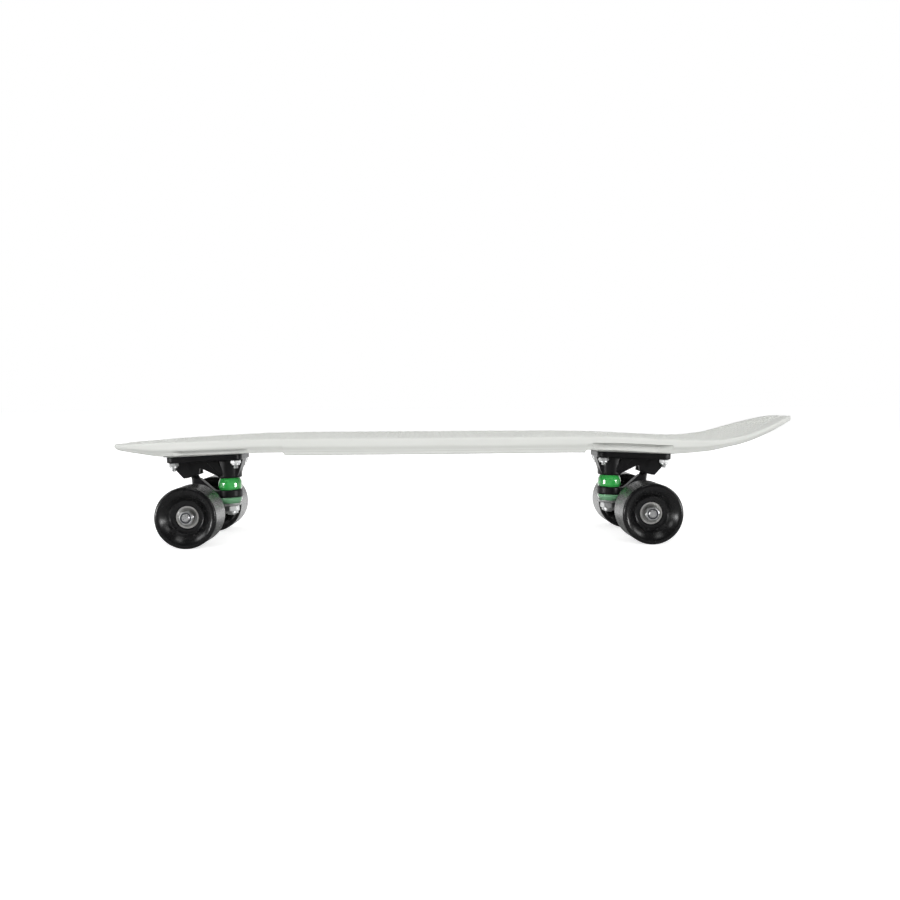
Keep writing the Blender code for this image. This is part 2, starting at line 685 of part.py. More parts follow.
def bottom_washer_mesh():
    # Cup washer: a flat ring with its edge turned up round the bushing.
    bore = KINGPIN_RADIUS + GAP
    profile = [(0.0110, 0.0048), (0.0099, 0.0022), (bore, 0.0022), (bore, 0.0036), (0.0096, 0.0036),
               (0.0104, 0.0048)]
    return turned_mesh("bottom_washer", profile, 14, closed=True)


def axle_mesh():
    tip = AXLE_RADIUS - 0.0008
    mesh = turned_mesh("axle", [
        (0, AXLE_END), (tip, AXLE_END), (AXLE_RADIUS, AXLE_END - 0.0008), (AXLE_RADIUS, 0.0008 - AXLE_END),
        (tip, -AXLE_END), (0, -AXLE_END)], 12)
    mesh.transform(Matrix.Rotation(-math.pi / 2, 4, "X"))
    return mesh


# Wheels: turned about their own axle line, outer face towards local +Z

def wheel_mesh():
    # The tread's flats, not its corners, lie at the wheel's radius, so the board stands on four of them.
    tread = WHEEL_RADIUS / math.cos(math.pi / WHEEL_SIDES)
    half = WHEEL_WIDTH / 2
    bore = BEARING_RADIUS + GAP
    seat = BEARING_SPACER / 2 + BEARING_WIDTH
    ledge = 0.0088
    face = [
        (tread, 0.0198), (0.0291, 0.0219), (0.0268, half), (0.0165, 0.0137), (bore, seat + 0.0007),
        (bore, BEARING_SPACER / 2 - GAP), (ledge, BEARING_SPACER / 2 - GAP),
    ]
    outer = face[::-1]
    inner = [(radius, -height) for radius, height in face]
    return turned_mesh("wheel", outer + inner, WHEEL_SIDES, closed=True)


def bearing_mesh():
    # Outer ring with its two shields, as one ring: the balls and cage are sealed inside.
    half = BEARING_WIDTH / 2
    shield = half - 0.0004
    profile = [
        (BEARING_RADIUS, half), (BEARING_RADIUS, -half), (0.0095, -half), (SHIELD_RADIUS, -shield),
        (SHIELD_RADIUS, shield), (0.0095, half),
    ]
    return turned_mesh("bearing", profile, 12, closed=True)


def spacer_stack_mesh():
    # Washer, inner ring, spacer, inner ring and washer, clamped end to end on the axle.
    bore = AXLE_RADIUS + GAP
    ring_outer = BEARING_SPACER / 2 + BEARING_WIDTH + GAP
    end = ring_outer - GAP + WASHER_THICKNESS
    ring = INNER_RING_RADIUS
    washer = 0.0064
    profile = [
        (washer, end), (washer, ring_outer), (ring, ring_outer), (ring, -ring_outer), (washer, -ring_outer),
        (washer, GAP - end), (bore, GAP - end), (bore, end),
    ]
    return turned_mesh("spacer_stack", profile, 12, closed=True)


def bolt_mesh():
    # Countersunk deck bolt, its head's face at height 0.
    return turned_mesh("deck_bolt", [
        (0, GAP - BOLT_RECESS), (BOLT_HEAD_RADIUS, -BOLT_RECESS),
        (BOLT_RADIUS, -BOLT_HEAD_HEIGHT - BOLT_RECESS), (BOLT_RADIUS, -BOLT_LENGTH), (0, -BOLT_LENGTH)], 8)


def build_truck(name, front, shared):
    frame = add_empty(name + "_truck", None, (0, 0, 0))
    frame.matrix_world = truck_matrix(front)
    fixed = [
        ("baseplate", shared["baseplate"], black_metal), ("kingpin", shared["kingpin"], zinc),
        ("top_washer", shared["top_washer"], zinc), ("top_bushing", shared["top_bushing"], green_urethane),
        ("bottom_bushing", shared["bottom_bushing"], pale_urethane),
        ("bottom_washer", shared["bottom_washer"], zinc),
    ]
    on_kingpin = {"top_washer", "top_bushing", "bottom_bushing", "bottom_washer", "kingpin"}
    for piece, mesh, material in fixed:
        place = (KINGPIN_X, 0, 0) if piece in on_kingpin else (0, 0, 0)
        add_object(f"{name}_{piece}", mesh, material, frame, place)
    add_object(f"{name}_kingpin_nut", shared["kingpin_nut"], zinc, frame, (KINGPIN_X, 0, 0.0019),
               (math.pi, 0, 0))
    add_object(f"{name}_pivot_cup", shared["pivot_cup"], black_plastic, frame,
               (PIVOT_BALL[0], 0, PIVOT_BALL[1]), (0, -PIVOT_LEAN, 0))
    for number, (x, y, top) in enumerate(bolt_places(front), 1):
        add_object(f"{name}_deck_bolt_{number}", shared["bolt"], zinc, frame, (x, y, top))
        nut_top = TRUCK_HEIGHT - 2 * GAP - PLATE_THICKNESS
        nut_place = (x, y, nut_top)
        add_object(f"{name}_deck_nut_{number}", shared["nut"], zinc, frame, nut_place, (math.pi, 0, 0))

    # The steering pivot: everything on it swings about the line from the pivot ball to the ring's middle.
    steer = add_empty(name + "_steer_axis", frame, (RING_CENTRE[0], 0, RING_CENTRE[1]))
    back = (-RING_CENTRE[0], 0, -RING_CENTRE[1])
    add_object(f"{name}_hanger", shared["hanger"], black_metal, steer, back)
    add_object(f"{name}_axle", shared["axle"], steel, steer, back)
    for side, sign in (("left", 1), ("right", -1)):
        local_sign = -sign if front else sign
        corner = f"{name}_{side}"
        outward = (-math.pi / 2 * local_sign, 0, 0)
        hub = (back[0], local_sign * WHEEL_CENTRE, back[2])
        add_object(f"{corner}_spacer_stack", shared["spacer_stack"], steel, steer, hub, outward)
        nut_place = (back[0], local_sign * (STACK_END + GAP), back[2])
        add_object(f"{corner}_axle_nut", shared["axle_nut"], zinc, steer, nut_place, outward)
        spin = add_empty(f"{corner}_spin_axis", steer, hub)
        add_object(f"{corner}_wheel", shared["wheel"], black_urethane, spin, (0, 0, 0), outward)
        offset = (BEARING_SPACER + BEARING_WIDTH) / 2
        for place, direction in (("outer", 1), ("inner", -1)):
            add_object(f"{corner}_{place}_bearing", shared["bearing"], bearing_steel, spin,
                       (0, direction * local_sign * offset, 0), outward)


def build_board():
    build_deck()
    shared = {
        "baseplate": baseplate_mesh(), "hanger": hanger_mesh(), "pivot_cup": pivot_cup_mesh(),
        "kingpin": kingpin_mesh(), "axle": axle_mesh(),
        "top_bushing": top_bushing_mesh(), "bottom_bushing": bottom_bushing_mesh(),
        "top_washer": top_washer_mesh(), "bottom_washer": bottom_washer_mesh(),
        "wheel": wheel_mesh(), "bearing": bearing_mesh(), "spacer_stack": spacer_stack_mesh(),
        "bolt": bolt_mesh(),
        "nut": hex_nut_mesh("deck_nut", NUT_ACROSS, NUT_HEIGHT, 0.0041, 0.0016, BOLT_RADIUS + GAP),
        "axle_nut": hex_nut_mesh("axle_nut", 0.0127, 0.0062, 0.0056, 0.0018, AXLE_RADIUS + GAP),
        "kingpin_nut": hex_nut_mesh("kingpin_nut", KINGPIN_ACROSS, 0.0080, 0.0064, 0.0022,
                                    KINGPIN_RADIUS + GAP),
    }
    build_truck("front", True, shared)
    build_truck("rear", False, shared)


clear_scene()
parts = new_collection("cruiser_skateboard")
cutters = new_collection("cutters")
white_plastic = paint("white_deck_plastic", (0.74, 0.75, 0.72), 0.42)
black_metal = paint("black_painted_metal", (0.012, 0.012, 0.013), 0.38, 0.0)
black_urethane = paint("black_wheel_urethane", (0.014, 0.014, 0.015), 0.22)
black_plastic = paint("black_pivot_plastic", (0.02, 0.02, 0.02), 0.5)
green_urethane = paint("green_bushing_urethane", (0.03, 0.36, 0.07), 0.25)
pale_urethane = paint("pale_green_bushing_urethane", (0.20, 0.50, 0.26), 0.25)
zinc = paint("zinc_plated_steel", (0.62, 0.63, 0.64), 0.28, 1.0)
steel = paint("plain_steel", (0.55, 0.55, 0.56), 0.32, 1.0)
bearing_steel = paint("bearing_shield_steel", (0.60, 0.59, 0.57), 0.35, 1.0)
build_board()
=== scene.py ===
# Cruiser skateboard: the looks of every piece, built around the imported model.
# Metres, in the board's own frame: +X to the nose, +Y to the rider's left, +Z up, wheels on Z = 0.
import math

import bmesh
import bpy
from mathutils import Matrix, Vector


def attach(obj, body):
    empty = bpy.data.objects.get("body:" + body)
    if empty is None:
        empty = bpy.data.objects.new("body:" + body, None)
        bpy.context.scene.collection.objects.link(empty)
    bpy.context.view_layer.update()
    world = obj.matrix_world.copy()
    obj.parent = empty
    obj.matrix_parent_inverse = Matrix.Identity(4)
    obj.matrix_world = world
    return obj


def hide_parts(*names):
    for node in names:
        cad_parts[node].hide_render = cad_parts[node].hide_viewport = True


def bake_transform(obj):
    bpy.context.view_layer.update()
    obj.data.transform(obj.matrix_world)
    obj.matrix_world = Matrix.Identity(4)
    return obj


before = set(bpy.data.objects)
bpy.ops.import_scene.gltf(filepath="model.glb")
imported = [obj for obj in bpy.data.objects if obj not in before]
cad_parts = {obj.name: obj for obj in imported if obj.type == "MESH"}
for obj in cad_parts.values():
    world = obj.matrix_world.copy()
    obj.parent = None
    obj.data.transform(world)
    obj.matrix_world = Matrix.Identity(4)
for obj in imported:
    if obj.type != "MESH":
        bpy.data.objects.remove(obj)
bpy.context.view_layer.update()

tau = 2 * math.pi
gap = 0.0003  # clearance between pieces that touch
roundingShare = 0.48  # the most of a straight run that one rounded corner takes
ends = ("front", "rear")
sides = {"left": 1, "right": -1}


# Outlines and profiles

def quarterRound(radius, steps):
    # (across, up) from (0, radius) to (radius, 0), rounding off a corner at the origin.
    angles = [math.pi / 2 * step / steps for step in range(steps + 1)]
    return [(radius * (1 - math.cos(angle)), radius * (1 - math.sin(angle))) for angle in angles]


def roundedLine(points, steps=4):
    # A polyline whose (across, up, radius) corners are rounded; corners without a radius stay sharp.
    line = []
    for i, point in enumerate(points):
        corner = Vector(point[:2])
        radius = point[2] if len(point) > 2 else 0.0
        if radius <= 0 or i in (0, len(points) - 1):
            line.append(tuple(corner))
            continue
        before = Vector(points[i - 1][:2]) - corner
        after = Vector(points[i + 1][:2]) - corner
        most = roundingShare * min(before.length, after.length)
        cut = min(radius / math.tan(before.angle(after) / 2), most)
        start = corner + before.normalized() * cut
        end = corner + after.normalized() * cut
        for step in range(steps + 1):
            t = step / steps
            line.append(tuple(start * (1 - t) ** 2 + corner * 2 * t * (1 - t) + end * t ** 2))
    return line


def flowingLine(points, steps=4):
    # A smooth line through all the points.
    line = []
    for i in range(len(points) - 1):
        a = Vector(points[max(i - 1, 0)])
        b = Vector(points[i])
        c = Vector(points[i + 1])
        d = Vector(points[min(i + 2, len(points) - 1)])
        for step in range(steps):
            t = step / steps
            line.append(tuple(0.5 * (2 * b + (c - a) * t + (2 * a - 5 * b + 4 * c - d) * t ** 2
                                     + (3 * b - 3 * c + d - a) * t ** 3)))
    line.append(tuple(points[-1]))
    return line


def roundedRectangle(length, width, radius, middle=0.0, steps=6):
    outline = []
    for quarter, (sx, sy) in enumerate([(1, 1), (-1, 1), (-1, -1), (1, -1)]):
        for step in range(steps + 1):
            angle = math.pi / 2 * (quarter + step / steps)
            x = middle + sx * (length / 2 - radius) + radius * math.cos(angle)
            outline.append((x, sy * (width / 2 - radius) + radius * math.sin(angle)))
    return outline


def post(high, low, radius, lowRadius=None):
    # The (radius, height) profile of a plain round post, cone or drill.
    return [(0, high), (radius, high), (lowRadius or radius, low), (0, low)]


def flipped(profile):
    # The profile's mirror image below height 0, in the order that continues it.
    return [(radius, -height) for radius, height in reversed(profile)]


# Meshes and pieces

def shaded(mesh, angle):
    mesh.shade_smooth()
    mesh.set_sharp_from_angle(angle=math.radians(angle))
    return mesh


def finishedMesh(work, merge=0.000001, angle=32):
    # Welds the bmesh, turns its faces outwards and gives it smooth shading with sharp creases.
    bmesh.ops.remove_doubles(work, verts=work.verts, dist=merge)
    bmesh.ops.recalc_face_normals(work, faces=work.faces)
    mesh = bpy.data.meshes.new("shape")
    work.to_mesh(mesh)
    work.free()
    return shaded(mesh, angle)


def newPiece(name, mesh, *materials):
    piece = bpy.data.objects.new(name, mesh)
    bpy.context.scene.collection.objects.link(piece)
    for material in materials:
        mesh.materials.append(material)
    return piece


def dropPiece(*pieces):
    for piece in pieces:
        bpy.data.objects.remove(piece, do_unlink=True)


def skinRings(work, rings, loop=False, capEnds=False):
    # Bands of quads between rings of equal length; a loop joins the last ring to the first.
    rows = [[work.verts.new(point) for point in ring] for ring in rings]
    pairs = list(zip(rows, rows[1:]))
    if loop:
        pairs.append((rows[-1], rows[0]))
    bands = []
    for ahead, behind in pairs:
        around = zip(ahead, ahead[1:] + ahead[:1], behind[1:] + behind[:1], behind)
        bands.append([work.faces.new(corners) for corners in around])
    if capEnds:
        work.faces.new(rows[0])
        work.faces.new(rows[-1])
    return bands


def ringAt(radius, height, steps):
    # radius is a number, or a function of the angle.
    points = []
    for i in range(steps):
        angle = tau * i / steps
        r = radius(angle) if callable(radius) else radius
        points.append((r * math.cos(angle), r * math.sin(angle), height))
    return points


def turned(name, profile, steps, *materials, closed=False, angle=32):
    # A profile of (radius, height) turned about Z, with a UV map that runs round it and along the profile.
    work = bmesh.new()
    bands = skinRings(work, [ringAt(radius, height, steps) for radius, height in profile], loop=closed)
    layer = work.loops.layers.uv.new("turnedMap")
    for row, band in enumerate(bands):
        for column, face in enumerate(band):
            for loop, (du, dv) in zip(face.loops, ((0, 0), (1, 0), (1, 1), (0, 1))):
                loop[layer].uv = ((column + du) / steps, (row + dv) / len(bands))
    return newPiece(name, finishedMesh(work, angle=angle), *materials)


def turnedMesh(profile, steps, place=Matrix()):
    piece = turned("shape", profile, steps)
    mesh = piece.data
    dropPiece(piece)
    mesh.transform(place)
    return mesh


def slab(outline, low, high, plane="XZ"):
    # A flat outline given thickness from low to high: along Y in plane XZ, X in YZ, Z in XY.
    order = {"XZ": (0, 2, 1), "YZ": (2, 0, 1), "XY": (0, 1, 2)}[plane]
    rings = []
    for depth in (low, high):
        spots = [(across, up, depth) for across, up in outline]
        rings.append([[spot[axis] for axis in order] for spot in spots])
    work = bmesh.new()
    skinRings(work, rings, capEnds=True)
    return finishedMesh(work)


def joinedMesh(meshes):
    # Several meshes as one, with their shells still separate.
    work = bmesh.new()
    for mesh in meshes:
        work.from_mesh(mesh)
    joined = bpy.data.meshes.new("joined")
    work.to_mesh(joined)
    work.free()
    return joined


def settled(piece):
    # The piece's modifiers applied to its mesh.
    bpy.context.view_layer.update()
    evaluated = piece.evaluated_get(bpy.context.evaluated_depsgraph_get())
    mesh = bpy.data.meshes.new_from_object(evaluated)
    piece.modifiers.clear()
    piece.data = mesh
    return piece


def cutWith(piece, mesh, operation="DIFFERENCE"):
    cutter = newPiece("cutter", mesh)
    step = piece.modifiers.new("cut", "BOOLEAN")
    step.operation = operation
    step.solver = "EXACT"
    step.object = cutter
    settled(piece)
    dropPiece(cutter)


def cleaned(piece, angle=32, merge=0.000002):
    # Welds a cut or grown piece and shades it again.
    work = bmesh.new()
    work.from_mesh(piece.data)
    bmesh.ops.remove_doubles(work, verts=work.verts, dist=merge)
    bmesh.ops.dissolve_degenerate(work, edges=work.edges, dist=merge)
    bmesh.ops.recalc_face_normals(work, faces=work.faces)
    work.to_mesh(piece.data)
    work.free()
    shaded(piece.data, angle)
    return piece


def dress(piece, body, slot=None, *nodes):
    # The body that a piece rides on and the nodes that it stands for; the material slot is not used.
    if nodes:
        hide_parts(*nodes)
    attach(piece, body)


# Node trees

def fill(tree, node, sockets):
    # A socket takes a plain value, an output, or a node, which stands for its first output in use.
    for label, value in sockets.items():
        if isinstance(value, bpy.types.Node):
            value = next(output for output in value.outputs if output.enabled)
        if isinstance(value, bpy.types.NodeSocket):
            tree.links.new(value, node.inputs[label])
        else:
            node.inputs[label].default_value = value
    return node


def addNode(tree, kind, sockets=None, **settings):
    node = tree.nodes.new(kind)
    for label, value in settings.items():
        setattr(node, label, value)
    return fill(tree, node, sockets or {})


def mathNode(tree, operation, *values):
    return addNode(tree, "ShaderNodeMath", dict(enumerate(values)), operation=operation)


def nodeInputs(tree, kinds):
    # The tree's input sockets: its geometry, and one for each named kind of value.
    for label, kind in {"Geometry": "Geometry", **kinds}.items():
        tree.interface.new_socket(label, in_out="INPUT", socket_type="NodeSocket" + kind)
    tree.interface.new_socket("Geometry", in_out="OUTPUT", socket_type="NodeSocketGeometry")
    return tree.nodes.new("NodeGroupInput").outputs


def endTree(tree, geometry, material):
    # Every tree ends in real geometry with its finish.
    real = addNode(tree, "GeometryNodeRealizeInstances", {"Geometry": geometry})
    painted = addNode(tree, "GeometryNodeSetMaterial", {"Geometry": real, "Material": material})
    addNode(tree, "NodeGroupOutput", {"Geometry": painted})
    return tree


def grown(name, tree, values, source=None):
    # Runs a tree, on a source mesh where it needs one, and keeps the result as a plain mesh piece.
    piece = newPiece(name, source or bpy.data.meshes.new(name))
    step = piece.modifiers.new("grow", "NODES")
    step.node_group = tree
    for socket in tree.interface.items_tree:
        if socket.in_out == "INPUT" and socket.name in values:
            step[socket.identifier] = values[socket.name]
    return settled(piece)


# Materials: two close tones, an uneven roughness and fine bumps, in the piece's own place

finishRecipes = {
    # tones: (noise size, dark, light); roughness: (noise size, or None to follow the brushing, low, high)
    # bumps: (noise size, detail, depth, strength); marks: (pitch, depth, strength) of tool marks
    # brushing: (depth, strength) of fine rings, which follow the turned pieces' own UV map
    "deckPlastic": {
        "tones": (0.070, (0.722, 0.735, 0.700), (0.758, 0.767, 0.738)),
        "roughness": (0.018, 0.44, 0.56), "ior": 1.49, "specular": 0.14,
        "bumps": [(0.0040, 2, 0.00006, 0.35), (0.0007, 4, 0.00003, 0.5)]},
    "castBlack": {
        "tones": (0.006, (0.006, 0.006, 0.007), (0.012, 0.012, 0.013)),
        "roughness": (0.0025, 0.28, 0.44), "specular": 0.22,
        "bumps": [(0.0030, 3, 0.00020, 0.35), (0.0006, 4, 0.00007, 0.5)]},
    "wheelGloss": {
        "tones": (0.012, (0.0030, 0.0030, 0.0034), (0.0055, 0.0055, 0.0060)),
        "roughness": (0.005, 0.23, 0.29), "ior": 1.48, "specular": 0.36,
        "bumps": [(0.006, 2, 0.00004, 0.25), (0.0009, 3, 0.000012, 0.5)]},
    "wheelGround": {
        "tones": (0.004, (0.038, 0.038, 0.038), (0.075, 0.075, 0.074)), "toneDetail": 5,
        "roughness": (0.0016, 0.20, 0.34), "specular": 0.8,
        "marks": (0.00045, 0.00004, 0.4), "bumps": [(0.0007, 3, 0.00003, 0.5)]},
    "greenUrethane": {
        "tones": (0.009, (0.040, 0.46, 0.080), (0.065, 0.58, 0.120)),
        "roughness": (0.003, 0.10, 0.16), "ior": 1.52, "transmission": 0.05, "coat": 1.0,
        "bumps": [(0.004, 2, 0.00005, 0.25)]},
    "paleUrethane": {
        "tones": (0.009, (0.22, 0.56, 0.28), (0.32, 0.68, 0.40)),
        "roughness": (0.003, 0.10, 0.16), "ior": 1.52, "transmission": 0.20, "coat": 1.0,
        "bumps": [(0.004, 2, 0.00005, 0.25)]},
    "zincPlate": {
        "tones": (0.003, (0.62, 0.63, 0.64), (0.74, 0.74, 0.73)),
        "roughness": (0.0012, 0.34, 0.50), "metallic": 1.0, "bumps": [(0.0005, 3, 0.00003, 0.5)]},
    "plainSteel": {
        "tones": (0.004, (0.50, 0.50, 0.51), (0.62, 0.62, 0.62)),
        "roughness": (0.0010, 0.24, 0.40), "metallic": 1.0, "marks": (0.00030, 0.00002, 0.5)},
    "bearingSteel": {
        "tones": (0.003, (0.60, 0.59, 0.57), (0.72, 0.71, 0.69)),
        "roughness": (None, 0.26, 0.44), "metallic": 1.0, "brushing": (0.00002, 0.4)},
    # The shield is toned darker than the bearing steel: painted shade for the recess between the outer and
    # inner rings.
    "shieldSteelPaintedShade": {
        "tones": (0.003, (0.33, 0.33, 0.32), (0.43, 0.43, 0.42)),
        "roughness": (None, 0.26, 0.44), "metallic": 1.0, "brushing": (0.00002, 0.4)},
    "pivotPlastic": {
        "tones": (0.004, (0.016, 0.016, 0.016), (0.026, 0.026, 0.027)),
        "roughness": (0.002, 0.42, 0.58), "bumps": [(0.0006, 3, 0.00004, 0.5)]},
    "nylonRing": {
        "tones": (0.003, (0.035, 0.037, 0.045), (0.055, 0.058, 0.070)),
        "roughness": (0.001, 0.32, 0.48), "bumps": [(0.0004, 3, 0.00002, 0.5)]},
}
noiseRange = (0.3, 0.7)  # nearly all of a noise lies between these
markWave = {"Distortion": 0.6, "Detail": 2.0}
brushStretch = (3, 260, 1)
coatRoughness = 0.08


def noise(tree, place, size, detail=3.0):
    # Noise whose features are about the given size in metres.
    return addNode(tree, "ShaderNodeTexNoise", {"Vector": place, "Scale": 1 / size, "Detail": detail})


def toolMarks(tree, place, pitch):
    # Parallel marks a pitch apart, slightly wavy.
    sockets = {"Vector": place, "Scale": tau / (20 * pitch), **markWave}
    return addNode(tree, "ShaderNodeTexWave", sockets, bands_direction="Y").outputs["Fac"]


def brushedRings(tree):
    around = addNode(tree, "ShaderNodeUVMap", uv_map="turnedMap")
    stretched = addNode(tree, "ShaderNodeMapping", {"Vector": around, "Scale": brushStretch})
    return noise(tree, stretched, 1.0, 2)


def newFinish(name, tones, roughness, bumps=(), marks=None, brushing=None, toneDetail=3.0,
              metallic=0.0, ior=1.5, transmission=0.0, coat=0.0, specular=0.5):
    material = bpy.data.materials.new(name)
    material.use_nodes = True
    tree = material.node_tree
    place = addNode(tree, "ShaderNodeTexCoord").outputs["Object"]

    toneSize, dark, light = tones
    tone = addNode(tree, "ShaderNodeMix", {
        "Factor": noise(tree, place, toneSize, toneDetail), "A": (*dark, 1), "B": (*light, 1),
    }, data_type="RGBA")

    heights = []
    if marks:
        pitch, depth, strength = marks
        heights.append((toolMarks(tree, place, pitch), depth, strength))
    if brushing:
        rings = brushedRings(tree)
        heights.append((rings, *brushing))
    for size, detail, depth, strength in bumps:
        heights.append((noise(tree, place, size, detail), depth, strength))
    normal = {}
    for height, depth, strength in heights:
        sockets = {"Height": height, "Distance": depth, "Strength": strength, **normal}
        normal = {"Normal": addNode(tree, "ShaderNodeBump", sockets)}

    roughSize, low, high = roughness
    spread = addNode(tree, "ShaderNodeMapRange", {
        "Value": rings if brushing else noise(tree, place, roughSize),
        "From Min": noiseRange[0], "From Max": noiseRange[1], "To Min": low, "To Max": high})
    fill(tree, tree.nodes["Principled BSDF"], {
        "Base Color": tone, "Roughness": spread, "Metallic": metallic, "IOR": ior, "Coat Weight": coat,
        "Coat Roughness": coatRoughness, "Transmission Weight": transmission,
        "Specular IOR Level": specular, **normal})
    return material


finish = {name: newFinish(name, **recipe) for name, recipe in finishRecipes.items()}
print("materials made:", len(finish))


# Deck: the rim is swept round the outline, the pockets between the ribs are cut from below

deckSizes = {
    "length": 0.711, "width": 0.190, "tailWidth": 0.150, "drawInFrom": 0.06, "drawInRun": 0.36,
    "noseRun": 0.210, "noseShape": (2.3, 1.8), "tailRun": 0.102, "tailShape": (2.3, 1.5),  # (power, root)
    "noseSteps": 44, "sideSteps": 110, "tailSteps": 36, "weld": 0.00002,
    "edgeRadius": 0.0026, "lip": 0.0080, "foot": 0.0015, "overhang": 0.0026, "draft": 0.0010,
    "fullRim": 0.014, "thinRim": (0.30, 0.55, 0.15),  # edge, lip and foot as shares of a thin rim's height
    "topInsets": (0.0120, 0.0060), "footInset": 0.0105,
    "wall": (0.6, 0.1),  # (share of the draft, share of the rim's height) above the foot
    "rim": 0.0098, "rib": 0.0036, "skin": 0.0045, "laneEdges": (0.030, 0.060),
    "frontStep": 0.167, "rearStep": -0.124, "stepRun": 0.002,
    "nosePocketTip": 0.326, "nosePocketSide": 0.318, "tailPocketEnd": -0.315,
}
halfLength = deckSizes["length"] / 2
topHeights = [  # (x, height of the top face), nose to tail
    (halfLength, 0.0985), (0.335, 0.1003), (0.264, 0.1040), (0.205, 0.1064), (0.150, 0.1070),
    (-0.100, 0.1070), (-0.120, 0.1069), (-0.164, 0.1058), (-0.205, 0.1036), (-0.240, 0.1021),
    (-0.262, 0.1028), (-0.285, 0.1062), (-0.315, 0.1156), (-0.342, 0.1236), (-halfLength, 0.1240),
]
rimHeights = [  # (x, height of the rim wall), nose to tail
    (halfLength, 0.0040), (0.350, 0.0062), (0.329, 0.0092), (0.296, 0.0140), (0.169, 0.0137),
    (0.167, 0.0165), (-0.124, 0.0163), (-0.126, 0.0136), (-0.190, 0.0146), (-0.215, 0.0148),
    (-0.235, 0.0126), (-0.250, 0.0110), (-0.268, 0.0084), (-0.285, 0.0076), (-0.320, 0.0072),
    (-0.345, 0.0066), (-halfLength, 0.0064),
]
lipCurve = [  # (share of the overhang, share of the rim's height below the lip), from the lip down
    (0.0, -0.16), (0.02, -0.06), (0.14, 0.03), (0.50, 0.12), (0.86, 0.21), (0.98, 0.28),
]


def easing(value):
    value = min(max(value, 0.0), 1.0)
    return value * value * (3 - 2 * value)


def topAt(x):
    # A smooth curve through topHeights that stays level between equal heights.
    points = topHeights
    if x >= points[0][0]:
        return points[0][1]
    slopes = []
    for i, point in enumerate(points):
        before = points[max(i - 1, 0)]
        after = points[min(i + 1, len(points) - 1)]
        level = 0 < i < len(points) - 1 and point[1] in (before[1], after[1])
        slopes.append(0.0 if level else (after[1] - before[1]) / (after[0] - before[0]))
    for i, ((x0, z0), (x1, z1)) in enumerate(zip(points, points[1:])):
        if x >= x1:
            run = x1 - x0
            t = (x - x0) / run
            return ((2 * t ** 3 - 3 * t ** 2 + 1) * z0 + (t ** 3 - 2 * t ** 2 + t) * run * slopes[i]
                    + (3 * t ** 2 - 2 * t ** 3) * z1 + (t ** 3 - t ** 2) * run * slopes[i + 1])
    return points[-1][1]


def rimAt(x):
    for (x0, h0), (x1, h1) in zip(rimHeights, rimHeights[1:]):
        if x >= x1:
            return h0 + (h1 - h0) * min((x0 - x) / (x0 - x1), 1.0)
    return rimHeights[-1][1]


def halfWidthAt(x):
    # Pointed round nose, long sides that draw in slightly, rounded tail.
    widest = deckSizes["width"] / 2
    drawnIn = easing((deckSizes["drawInFrom"] - x) / deckSizes["drawInRun"])
    waist = widest - (widest - deckSizes["tailWidth"] / 2) * drawnIn
    for reach, end, width in ((x, "nose", widest), (-x, "tail", waist)):
        run = deckSizes[end + "Run"]
        power, root = deckSizes[end + "Shape"]
        beyond = (reach - (halfLength - run)) / run
        if beyond > 0:
            return width * max(1 - beyond ** power, 0.0) ** (1 / root)
    return waist


def deckOutline():
    # Points round the outline from the nose tip along +Y to the tail and back, with their outward normals.
    def crowded(end):
        run, steps = deckSizes[end + "Run"], deckSizes[end + "Steps"]
        return [halfLength - run * (1 - math.cos(math.pi / 2 * step / steps)) for step in range(steps)]

    noseEnd = halfLength - deckSizes["noseRun"]
    sideRun = -halfLength + deckSizes["tailRun"] - noseEnd
    count = deckSizes["sideSteps"]
    stations = crowded("nose") + [-x for x in crowded("tail")]
    stations += [noseEnd + sideRun * step / count for step in range(count + 1)]
    for edge, sign in (("frontStep", 1), ("rearStep", -1)):
        stations += [deckSizes[edge] + sign * deckSizes["stepRun"] * part for part in (0, 0.25, 0.5, 0.75, 1)]
    stations = sorted(set(round(x, 6) for x in stations), reverse=True)
    left = [Vector((x, halfWidthAt(x))) for x in stations]
    left[0].y = left[-1].y = 0.0
    loop = left + [Vector((p.x, -p.y)) for p in reversed(left[1:-1])]
    normals = []
    for i in range(len(loop)):
        run = loop[(i + 1) % len(loop)] - loop[i - 1]
        normals.append(Vector((run.y, -run.x)).normalized())
    return loop, normals


def rimSection(height):
    # (inset from the outline, drop below the top face) from the top face round the rim to the underside.
    thinEdge, thinLip, thinFoot = deckSizes["thinRim"]
    radius = min(deckSizes["edgeRadius"], thinEdge * height)
    lip = min(deckSizes["lip"], thinLip * height)
    foot = min(deckSizes["foot"], thinFoot * height)
    draft = deckSizes["draft"]
    overhang = deckSizes["overhang"] * min(height / deckSizes["fullRim"], 1.0)
    section = [(inset, 0.0) for inset in deckSizes["topInsets"]]
    section += [(up, across) for across, up in quarterRound(radius, 7)]
    under = [(share * overhang, lip + drop * height) for share, drop in lipCurve]
    section += [(max(inset, 0.0), drop) for inset, drop in flowingLine(under, 2)]
    wallIn, wallUp = deckSizes["wall"]
    section.append((overhang + wallIn * draft, height - foot - wallUp * height))
    section += [(overhang + draft + across, height - up) for across, up in quarterRound(foot, 4)]
    section.append((deckSizes["footInset"], height))
    return section


